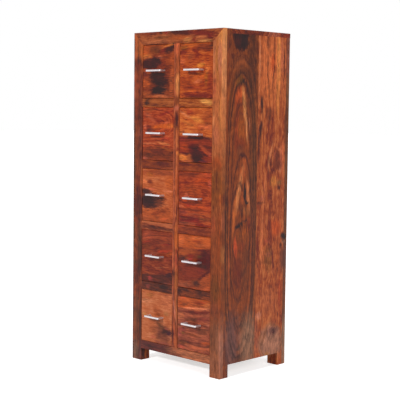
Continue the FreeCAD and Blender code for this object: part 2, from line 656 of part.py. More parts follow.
def drawers():
    """Ten equal drawers: four sub-parts each, set in their openings."""
    front = drawer_front()
    box = [drawer_side(side, hand) for side, hand in HANDS.items()] + [drawer_back()]
    bottom = drawer_bottom()
    pull = handle()
    for side, hand in HANDS.items():
        for row in range(1, ROWS + 1):
            x = f"{hand} * {COLUMN_CENTRE}"
            z = f"{LOWEST_OPENING} + {ROWS - row} * {ROW_PITCH}"
            node(f"drawer_front_{side}_{row}", [front], x, FRONT, z)
            node(f"drawer_box_{side}_{row}", box, x, FRONT, z)
            node(f"drawer_bottom_{side}_{row}", [bottom], x, FRONT, z)
            node(f"drawer_handle_{side}_{row}", [pull], x, FRONT, z)


# ---------------------------------------------------------------------------------------------
# The chest.
# ---------------------------------------------------------------------------------------------
def check():
    """Stop at a failed feature, an empty pocket or a broken solid."""
    for item in doc.Objects:
        if "Invalid" in item.State or "Error" in item.State:
            raise RuntimeError(f"{item.Label} is {item.State}")
        if item.TypeId == "PartDesign::Pocket":
            removed = item.BaseFeature.Shape.Volume - item.Shape.Volume
            if removed <= 0:
                raise RuntimeError(f"{item.Label} removes nothing")
    for item in nodes:
        if item.Shape.isNull() or not item.Shape.isValid() or not item.Shape.Solids:
            raise RuntimeError(f"{item.Label} is not a valid solid")


corner_splines = mitre_splines()
top_rail(corner_splines)
for side_name, side_sign in HANDS.items():
    front_post(side_name, side_sign, corner_splines)
    rear_post(side_name, side_sign)
    side_panel(side_name, side_sign)
    drawer_rails(side_name, side_sign)
    drawer_runners(side_name, side_sign)
bottom_rail()
centre_stile()
centre_divider()
bottom_board()
top_board()
rear_rails()
back_panel()
drawers()
doc.recompute()
check()

os.makedirs("parts", exist_ok=True)
for part in nodes:
    part.Shape.exportStep(os.path.join("parts", f"{part.Label}.step"))
    box = part.Shape.BoundBox
    print(f"{part.Label}: {len(part.Shape.Solids)} solids, {part.Shape.Volume / 1000:.1f} cm3,"
          f" x {box.XMin:.1f} {box.XMax:.1f}, y {box.YMin:.1f} {box.YMax:.1f},"
          f" z {box.ZMin:.1f} {box.ZMax:.1f}")
print(f"{len(nodes)} sub-parts")
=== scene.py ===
"""Looks of a tall rosewood chest for compact discs: lacquered boards, steel pulls and screws.

Lengths are in millimetres until a mesh is written, which is in metres.  X runs to the right, Y
from the front to the back and Z up from the floor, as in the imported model.
"""
import logging
import math
from dataclasses import dataclass, replace
from enum import Enum
from typing import NamedTuple

import bpy
import numpy as np
from mathutils import Matrix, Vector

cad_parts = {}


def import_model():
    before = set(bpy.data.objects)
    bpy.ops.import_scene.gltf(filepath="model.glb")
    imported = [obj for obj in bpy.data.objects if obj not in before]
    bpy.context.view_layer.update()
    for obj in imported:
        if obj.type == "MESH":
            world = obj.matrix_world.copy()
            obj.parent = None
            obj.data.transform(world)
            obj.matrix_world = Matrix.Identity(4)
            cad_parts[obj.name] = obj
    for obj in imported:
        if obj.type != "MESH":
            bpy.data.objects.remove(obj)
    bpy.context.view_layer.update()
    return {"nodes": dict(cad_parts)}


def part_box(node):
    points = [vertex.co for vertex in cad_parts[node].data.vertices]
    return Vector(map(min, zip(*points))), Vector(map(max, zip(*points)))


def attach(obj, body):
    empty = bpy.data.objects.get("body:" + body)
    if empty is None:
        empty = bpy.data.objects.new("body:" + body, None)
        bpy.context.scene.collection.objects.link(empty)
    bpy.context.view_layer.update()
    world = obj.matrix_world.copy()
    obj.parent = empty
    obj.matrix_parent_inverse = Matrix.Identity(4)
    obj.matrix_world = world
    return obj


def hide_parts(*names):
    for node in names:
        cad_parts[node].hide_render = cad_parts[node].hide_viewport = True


LOG = logging.getLogger("chest")
METRE = 1000.0
LACQUER_SHARE = 0.76
VEIL = 0.014
DARKEST = 0.002
Colour = tuple[float, float, float]
Paint = tuple[int, int, int]
BLACK: Colour = (0.0, 0.0, 0.0)
HANDS = {"left": -1, "right": 1}
ROWS = range(1, 6)


def tone(paint: Paint) -> Colour:
    """Turn a finished surface's sRGB colour into a linear base colour.

    The lacquer keeps part of the light back, and its own reflection adds a thin veil of white,
    so that much is taken off.

    Args:
        paint: Red, green and blue, 0 to 255.

    Returns:
        The three linear parts.
    """
    linear = [((part / 255 + 0.055) / 1.055) ** 2.4 for part in paint]
    return tuple(max(part * LACQUER_SHARE - VEIL, DARKEST) for part in linear)


def blended(first: Colour, second: Colour, share: float) -> Colour:
    """Colour between two others; share 1 gives the second."""
    return tuple(a + (b - a) * share for a, b in zip(first, second))


class Place(NamedTuple):
    """A place on the chest, in millimetres."""

    x: float
    y: float
    z: float


def extent(node: str) -> tuple[Place, Place]:
    """Read where a solid lies at rest.

    Args:
        node: The solid's name.

    Returns:
        Its lowest and its highest corner.
    """
    low, high = (Place(*(part * METRE for part in corner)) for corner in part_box(node))
    return low, high


# ---- Node graphs written as arithmetic -----------------
@dataclass(frozen=True)
class Term:
    """A socket of a node graph that can be used in formulas."""

    graph: "Graph"
    socket: bpy.types.NodeSocket

    def __add__(self, other: "Value") -> "Term":
        """Sum."""
        return self.graph.math("ADD", self, other)

    def __sub__(self, other: "Value") -> "Term":
        """Difference."""
        return self.graph.math("SUBTRACT", self, other)

    def __rsub__(self, other: "Value") -> "Term":
        """Difference with the term last."""
        return self.graph.math("SUBTRACT", other, self)

    def __mul__(self, other: "Value") -> "Term":
        """Product."""
        return self.graph.math("MULTIPLY", self, other)

    def __truediv__(self, other: "Value") -> "Term":
        """Quotient."""
        return self.graph.math("DIVIDE", self, other)

    def __abs__(self) -> "Term":
        """Size without the sign."""
        return self.graph.math("ABSOLUTE", self)

    __radd__ = __add__
    __rmul__ = __mul__

    def centred(self) -> "Term":
        """A noise value moved from 0..1 to -0.5..0.5."""
        return self - 0.5

    def hill(self) -> "Term":
        """exp(-value squared): one at zero, falling to nothing by about two."""
        return self.graph.math("EXPONENT", self * self * -1.0)


Value = float | Term


class Graph:
    """Node graph of a material or a world, with short names for what the finishes need."""

    def __init__(self, owner: bpy.types.Material | bpy.types.World) -> None:
        """Start with an empty graph.

        Args:
            owner: The material or world that the graph belongs to.
        """
        owner.use_nodes = True
        self.owner = owner
        self.tree = owner.node_tree
        self.tree.nodes.clear()

    def feed(self, node: bpy.types.Node, socket: int | str, value: object) -> None:
        """Link a term to an input, or set the input's own value.

        Args:
            node: The node that is fed.
            socket: The input's name or place.
            value: A Term, a shader's output, a number, or a tuple for a colour or a vector.
        """
        target = node.inputs[socket]
        if isinstance(value, Term):
            self.tree.links.new(value.socket, target)
        elif isinstance(value, tuple) and len(target.default_value) == 4:
            target.default_value = (*value, 1.0)
        else:
            target.default_value = value

    def node(self, kind: str, inputs: dict[int | str, object] | None = None,
             **settings: object) -> bpy.types.Node:
        """Add a node, set its properties and feed its inputs.

        Args:
            kind: The node's type, without the "ShaderNode" that all begin with.
            inputs: What each input takes, by its name or place.
            **settings: The node's own properties.

        Returns:
            The node.
        """
        made = self.tree.nodes.new(f"ShaderNode{kind}")
        for key, value in settings.items():
            setattr(made, key, value)
        for socket, value in (inputs or {}).items():
            self.feed(made, socket, value)
        return made

    def term(self, node: bpy.types.Node, output: int | str = 0) -> Term:
        """One of a node's outputs, as a term."""
        return Term(self, node.outputs[output])

    def math(self, operation: str, *values: Value) -> Term:
        """Result of a Math node."""
        return self.term(self.node("Math", dict(enumerate(values)), operation=operation))

    def vector(self, x: Value, y: Value, z: Value) -> Term:
        """Vector of three terms."""
        return self.term(self.node("CombineXYZ", {0: x, 1: y, 2: z}))

    def vector_math(self, operation: str, *values: object, output: int | str = 0) -> Term:
        """Result of a Vector Math node."""
        made = self.node("VectorMath", dict(enumerate(values)), operation=operation)
        return self.term(made, output)

    def position(self) -> tuple[Term, Term, Term]:
        """The point's x, y and z on the piece, in millimetres."""
        parts = self.node("SeparateXYZ", {0: self.term(self.node("TexCoord"), "Object")})
        return tuple(self.term(parts, axis) * METRE for axis in range(3))

    def noise(self, point: Term, detail: float = 2.0, roughness: float = 0.5) -> Term:
        """Noise of a point, 0 to 1, whose grains are about one unit across."""
        inputs = {"Vector": point, "Scale": 1.0, "Detail": detail, "Roughness": roughness}
        return self.term(self.node("TexNoise", inputs), "Fac")

    def ripple(self, length: Term, detail: float = 2.0, roughness: float = 0.5) -> Term:
        """Noise of one length, 0 to 1, whose swells are about one unit long."""
        inputs = {"W": length, "Scale": 1.0, "Detail": detail, "Roughness": roughness}
        return self.term(self.node("TexNoise", inputs, noise_dimensions="1D"), "Fac")

    def step(self, value: Term, low: float, high: float, start: float = 0.0,
             end: float = 1.0) -> Term:
        """Smooth step; it needs no clamp, which would cost the renderer a node of its own.

        Args:
            value: What is compared.
            low: Where the step begins.
            high: Where it ends.
            start: The result below it.
            end: The result above it.

        Returns:
            The result, from start to end.
        """
        inputs = {"Value": value, "From Min": low, "From Max": high, "To Min": start,
                  "To Max": end}
        return self.term(self.node("MapRange", inputs, interpolation_type="SMOOTHSTEP",
                                   clamp=False))

    def ramp(self, value: Term, stops: dict[float, Colour]) -> Term:
        """Colour that follows a value.

        Args:
            value: 0 to 1.
            stops: The colour at each value named.

        Returns:
            The colour.
        """
        made = self.node("ValToRGB", {0: value})
        elements = made.color_ramp.elements
        for place, (position, colour) in enumerate(sorted(stops.items())):
            element = elements[place] if place < len(elements) else elements.new(position)
            element.position = position
            element.color = (*colour, 1.0)
        return self.term(made)

    def blend(self, share: Value, first: Term | Colour, second: Term | Colour) -> Term:
        """Mix of two colours; share 1 gives the second."""
        return self.term(self.node("Mix", {0: share, 6: first, 7: second}, data_type="RGBA"), 2)

    def shade(self, colour: Colour, share: Term) -> Term:
        """A colour made lighter or darker by a share."""
        return self.term(self.node("Mix", {0: share, 6: BLACK, 7: colour}, data_type="RGBA",
                                   clamp_factor=False), 2)

    def offset(self, point: Term, at: tuple[float, float], size: tuple[float, float],
               turn: float) -> Term:
        """Distance of a point of the view from an ellipse's middle: one on its edge.

        Each of the two coordinates along the ellipse's axes is a dot product of the point with
        the axis over its half width; its third part holds what the middle takes away.

        Args:
            point: The point: across the view, down it, and one.
            at: The ellipse's middle.
            size: Its half widths before it is turned.
            turn: Degrees, clockwise as seen.

        Returns:
            The distance in half widths.
        """
        if turn:
            cosine, sine = math.cos(math.radians(turn)), math.sin(math.radians(turn))
            axes = ((cosine / size[0], sine / size[0]), (-sine / size[1], cosine / size[1]))
            parts = [self.vector_math("DOT_PRODUCT", point,
                                      (right, down, -right * at[0] - down * at[1]),
                                      output="Value") for right, down in axes]
            placed = self.vector(*parts, 0.0)
        else:
            placed = self.vector_math("MULTIPLY_ADD", point, (1.0 / size[0], 1.0 / size[1], 0.0),
                                      (-at[0] / size[0], -at[1] / size[1], 0.0))
        return self.vector_math("LENGTH", placed, output="Value")

    def surface(self, colour: Term, roughness: Term, height: Term, depth: float,
                **uniform: float) -> bpy.types.Material:
        """Finish the material with a Principled shader and a bump.

        Args:
            colour: Base colour.
            roughness: Roughness over the surface.
            height: Relief, 0 to 1.
            depth: The relief's depth in millimetres.
            **uniform: Inputs that are the same all over, by name with _ for spaces.

        Returns:
            The material.
        """
        bump = self.node("Bump", {"Strength": 1.0, "Distance": depth / METRE, "Height": height})
        inputs = {"Base Color": colour, "Roughness": roughness, "Normal": self.term(bump)}
        inputs |= {key.replace("_", " "): value for key, value in uniform.items()}
        self.node("OutputMaterial", {0: self.term(self.node("BsdfPrincipled", inputs))})
        return self.owner


# ---- Wood ----------------------------------------------
class Side(Enum):
    """The side of the chest that a board's figure is laid out on."""

    FRONT = "front"
    RIGHT = "right"
    LEFT = "left"
    BACK = "back"
    TOP = "top"


class Grain(Enum):
    """Which way the fibres run, in the view of the board's side."""

    LEVEL = "level"
    UPRIGHT = "upright"


@dataclass(frozen=True)
class Coat:
    """How a wood surface is finished, and how much the wood's structure shows through it."""

    roughness: float
    specular: float
    gloss: float
    relief: float
    gloss_roughness: float = 0.12
    fibre_roughness: float = 0.16
    pore_roughness: float = 0.12
    cloud_roughness: float = 0.10
    fibre_relief: float = 0.5
    pore_relief: float = 0.6
    pore_dark: float = 0.4


LACQUER = Coat(roughness=0.36, specular=0.15, gloss=0.05, relief=0.06)
SANDED = Coat(roughness=0.62, specular=0.25, gloss=0.0, relief=0.10)


@dataclass(frozen=True)
class Mark:
    """A knot, a streak or a patch of other wood: an ellipse with a ragged edge.

    Its middle and half widths are in millimetres from the figure's start, its turn is in
    degrees, clockwise.  Soft and ragged are shares of its size, pull is how far the growth rings
    bend round it, and a rim is the width of a line that is drawn along its edge alone.
    """

    at: tuple[float, float]
    size: tuple[float, float]
    colour: Paint
    strength: float = 0.9
    turn: float = 0.0
    soft: float = 0.45
    ragged: float = 0.8
    pull: float = 0.0
    rim: float = 0.0


@dataclass(frozen=True)
class Zone:
    """Wood of another colour between two growth rings, given by their distance from the pith."""

    start: float
    end: float
    colour: Paint
    strength: float = 0.9
    soft: float = 2.0


@dataclass(frozen=True)
class Figure:
    """Colours and growth of one board; lengths are in millimetres on its face, from its start."""

    dark: Paint
    mid: Paint
    light: Paint
    seed: float = 0.0
    pith: tuple[float, float] = (90.0, 60.0)
    ring: float = 9.0
    tilt: float = 0.0
    bow: float = 0.0
    bow_at: float = 0.0
    wander: float = 9.0
    contrast: float = 1.0
    veins: float = 0.5
    blotch: float = 0.5
    zones: tuple[Zone, ...] = ()
    marks: tuple[Mark, ...] = ()


@dataclass(frozen=True)
class Texture:
    """Noise drawn out along the fibres: its grains' length and width, and how fine it goes."""

    long: float
    wide: float
    detail: float
    roughness: float

    def point(self, graph: Graph, along: Term, across: Term, deep: Term,
              start: tuple[float, float] = (0.0, 0.0)) -> Term:
        """The point at which the noise is read, in grains.

        Args:
            graph: The material's graph.
            along: Place along the fibres, in millimetres.
            across: Place across them.
            deep: Depth in the board.
            start: Grains by which it is moved along and across, so that no two boards are alike.

        Returns:
            The point.
        """
        places = [along / self.long, across / self.wide]
        moved = [place + more if more else place for place, more in zip(places, start)]
        return graph.vector(*moved, deep / self.wide)

    def read(self, graph: Graph, *place: object) -> Term:
        """The noise there, from -0.5 to 0.5; it takes what point takes."""
        return graph.noise(self.point(graph, *place), self.detail, self.roughness).centred()


DRIFT = Texture(120.0, 40.0, 3.0, 0.5)
CURL = Texture(24.0, 6.0, 3.0, 0.6)
FEATHER = Texture(20.0, 2.6, 3.0, 0.65)
STREAK = Texture(60.0, 4.4, 3.0, 0.65)
FLECK = Texture(24.0, 4.4, 3.0, 0.7)
FIBRE = Texture(46.0, 1.2, 2.0, 0.6)
PORE = Texture(4.2, 0.42, 1.0, 0.5)
CLOUD_SIZE = (40.0, 24.0, 30.0)
SEED_STEP = 37.7
FINE_SEED = 11.0
VEIN_SEED = 53.0
LEAST_LIFT = 0.35


@dataclass(frozen=True)
class Flow:
    """How far the noises move the wood, in millimetres for a noise of one.

    Those of the marks move their outlines, across the fibres by sway and curl and along them by
    mottle and feather.  Those of the rings move the pith aside and in depth, and the first two
    are shares of the figure's wander.
    """

    mark_sway: float = 14.0
    mark_curl: float = 8.0
    mark_mottle: float = 30.0
    mark_feather: float = 42.0
    ring_sway: float = 2.4
    ring_heave: float = 3.0
    ring_curl: float = 9.0
    ring_curl_deep: float = 5.0


@dataclass(frozen=True)
class Bands:
    """Bands to a growth ring, and how much each noise lightens or darkens the wood."""

    broad_count: float = 0.55
    fine_count: float = 2.6
    vein_count: float = 0.8
    broad: float = 1.1
    fine: float = 0.6
    streak: float = 1.3
    feather: float = 0.85
    fibre: float = 0.45
    fleck: float = 0.9
    cloud: float = 1.7


FLOW = Flow()
BANDS = Bands()


@dataclass(frozen=True)
class Board:
    """One board: where its figure starts, which side shows it and how its fibres run."""

    name: str
    figure: Figure
    origin: Place
    side: Side
    grain: Grain
    coat: Coat = LACQUER

    def axes(self, graph: Graph) -> tuple[Term, Term, Term]:
        """Look at the board from its side.

        Args:
            graph: The material's graph.

        Returns:
            Places across and down the view and into the board, in millimetres from its start.
        """
        x, y, z = graph.position()
        left, front, top = self.origin
        if self.side is Side.FRONT:
            return x - left, top - z, y - front
        if self.side is Side.BACK:
            return left - x, top - z, front - y
        if self.side is Side.RIGHT:
            return y - front, top - z, left - x
        if self.side is Side.LEFT:
            return y - front, top - z, x - left
        return x - left, y - front, top - z

    def material(self) -> bpy.types.Material:
        """The board's material."""
        return Wood(self).finish()


class Wood(Graph):
    """Node graph of one board.

    Growth rings are cylinders round a pith behind the face.  The ring coordinate is the distance
    to the pith, whose depth changes along the board by a slope and a bow, after the point has
    been moved by a slow, stretched noise; knots add a hill to it, so that rings flow round them.
    Bands of wood are one-dimensional noises of that coordinate.
    """

    def __init__(self, board: Board) -> None:
        """Start with the noises that the board's colour, edges and relief share.

        Args:
            board: The board.
        """
        super().__init__(bpy.data.materials.new(board.name))
        self.figure, self.coat = board.figure, board.coat
        u, v, self.deep = board.axes(self)
        level = board.grain is Grain.LEVEL
        self.along, self.across = (u, v) if level else (v, u)
        self.seed = self.figure.seed * SEED_STEP
        place = (self.along, self.across, self.deep)
        drift = self.node("TexNoise", {
            "Vector": DRIFT.point(self, *place, (self.seed, 0.0)), "Scale": 1.0,
            "Detail": DRIFT.detail, "Roughness": DRIFT.roughness})
        parts = self.node("SeparateColor", {0: self.term(drift, "Color")})
        self.sway, self.heave, self.mottle = (self.term(parts, part).centred()
                                              for part in range(3))
        shifted = (0.0, self.seed)
        self.curl = CURL.read(self, *place, shifted)
        self.feather = FEATHER.read(self, *place, shifted)
        crosswise = self.sway * FLOW.mark_sway + self.curl * FLOW.mark_curl
        lengthwise = self.mottle * FLOW.mark_mottle + self.feather * FLOW.mark_feather
        u, v = (u + lengthwise, v + crosswise) if level else (u + crosswise, v + lengthwise)
        self.drifted = self.vector(u, v, 1.0)
        long, wide, thick = CLOUD_SIZE
        self.cloud = self.noise(self.vector(u / long + self.seed, v / wide, self.deep / thick),
                                3.0, 0.55).centred()
        self.fleck = FLECK.read(self, *place, shifted)
        self.fibre = FIBRE.read(self, *place, shifted)
        pore = self.noise(PORE.point(self, *place, shifted), PORE.detail, PORE.roughness)
        self.pore = self.step(pore, 0.60, 0.74)

    def growth(self) -> tuple[Term, Term]:
        """Work out the ring coordinate.

        Returns:
            Distance across the board from the pith's line, and the distance to the pith.
        """
        figure = self.figure
        pith_across, pith_depth = figure.pith
        run = self.along - figure.bow_at
        offset = (self.across - pith_across + self.sway * (FLOW.ring_sway * figure.wander)
                  + self.curl * FLOW.ring_curl)
        depth = (self.deep + self.heave * (FLOW.ring_heave * figure.wander)
                 + self.curl * FLOW.ring_curl_deep + pith_depth + run * figure.tilt
                 + run * run * (figure.bow / METRE))
        return offset, self.math("SQRT", offset * offset + depth * depth)

    def bands(self, offset: Term, radius: Term) -> tuple[Term, Term, Term]:
        """Lay the bands of early and late wood, and the textures over them.

        Args:
            offset: Distance across the board from the pith's line.
            radius: The ring coordinate.

        Returns:
            How light the wood is, about 0.5; where a dark vein runs, 0 or 1; and the streaks.
        """
        rings = radius / self.figure.ring
        broad = self.ripple(rings * BANDS.broad_count + self.seed, 2.0, 0.55).centred()
        fine = self.ripple(rings * BANDS.fine_count + (self.seed + FINE_SEED), 2.0, 0.6).centred()
        streak = STREAK.read(self, self.along, offset, self.deep, (self.seed, 0.0))
        vein = abs(self.ripple(rings * BANDS.vein_count + (self.seed + VEIN_SEED), 1.0,
                               0.4).centred())
        vein = (self.step(vein, 0.0, 0.05, 1.0, 0.0)
                * self.step(self.mottle + streak, 0.0, 0.3))
        strength = self.figure.contrast
        present = self.step(self.mottle + self.fleck * 0.5, -0.28, 0.22, 0.25, 1.25)
        lightness = ((broad * BANDS.broad + fine * BANDS.fine) * present * strength
                     + streak * (BANDS.streak * strength) + self.feather * BANDS.feather
                     + self.fibre * BANDS.fibre + self.fleck * BANDS.fleck
                     + self.cloud * (BANDS.cloud * self.figure.blotch) + 0.5)
        return lightness, vein, streak

    def zoned(self, colour: Term, radius: Term, lift: Term) -> Term:
        """Lay the figure's zones over the bands.

        Args:
            colour: The colour so far.
            radius: The ring coordinate.
            lift: How light the wood is there.

        Returns:
            The colour.
        """
        for zone in self.figure.zones:
            inside = self.step(radius, zone.start - zone.soft, zone.start + zone.soft, 0.0,
                               zone.strength)
            inside = inside * self.step(radius, zone.end - zone.soft, zone.end + zone.soft, 1.0,
                                        0.0)
            colour = self.blend(inside, colour, self.shade(tone(zone.colour), lift))
        return colour

    def marked(self, colour: Term, spreads: dict[Mark, Term], streak: Term, lift: Term) -> Term:
        """Lay the figure's marks over the rest.

        Args:
            colour: The colour so far.
            spreads: Distances from the marks that also pull the rings.
            streak: The streaks.
            lift: How light the wood is there.

        Returns:
            The colour.
        """
        rough_edge = self.curl + self.cloud + self.feather * 1.5 + streak * 0.5
        edges = {ragged: rough_edge * ragged
                 for ragged in sorted({mark.ragged for mark in self.figure.marks})}
        for mark in self.figure.marks:
            spread = spreads.get(mark) or self.spread(mark)
            if mark.rim:
                spread = abs(spread - 1.0) * (min(mark.size) / mark.rim)
            cover = self.step(spread + edges[mark.ragged], 1.0 - mark.soft, 1.0 + mark.soft,
                              mark.strength, 0.0)
            if mark.rim:
                cover = cover * self.step(self.cloud + streak, -0.16, 0.06)
            colour = self.blend(cover, colour, self.shade(tone(mark.colour), lift))
        return colour

    def spread(self, mark: Mark) -> Term:
        """Distance from a mark's middle, one on its edge."""
        return self.offset(self.drifted, mark.at, mark.size, mark.turn)

    def finish(self) -> bpy.types.Material:
        """Put the board's colour, roughness and relief together.

        Returns:
            The material.
        """
        figure, coat = self.figure, self.coat
        dark, mid, light = (tone(paint) for paint in (figure.dark, figure.mid, figure.light))
        offset, radius = self.growth()
        spreads = {mark: self.spread(mark) for mark in figure.marks if mark.pull}
        for mark, spread in spreads.items():
            radius = radius + (spread * 0.8).hill() * mark.pull
        lightness, vein, streak = self.bands(offset, radius)
        colour = self.ramp(lightness, {0.14: dark, 0.34: blended(dark, mid, 0.55), 0.5: mid,
                                       0.84: light})
        colour = self.blend(vein * figure.veins, colour, blended(dark, BLACK, 0.4))
        lift = self.math("MAXIMUM", lightness * 1.7 + 0.15, LEAST_LIFT)
        colour = self.marked(self.zoned(colour, radius, lift), spreads, streak, lift)
        colour = self.blend(self.pore * coat.pore_dark, colour, blended(dark, BLACK, 0.5))
        roughness = (self.fibre * coat.fibre_roughness + self.pore * coat.pore_roughness
                     + self.cloud * coat.cloud_roughness + coat.roughness)
        height = self.fibre * coat.fibre_relief - self.pore * coat.pore_relief + 0.5
        return self.surface(colour, roughness, height, coat.relief,
                            Specular_IOR_Level=coat.specular, Coat_Weight=coat.gloss,
                            Coat_Roughness=coat.gloss_roughness)


# ---- The figure of every board that shows --------------
# A mark is its middle, its half widths, its colour, its strength, its turn, and how soft and how
# ragged its edge is.
AMBER = (208, 116, 60)
SALMON = (204, 108, 72)
COPPER = (190, 88, 46)
EMBER = (172, 68, 36)
RUSSET = (150, 64, 38)
CHESTNUT = (122, 54, 36)
WINE = (112, 40, 32)
OLIVE = (116, 68, 34)
UMBER = (98, 46, 34)
PLUM = (64, 34, 38)
SOOT = (50, 31, 23)

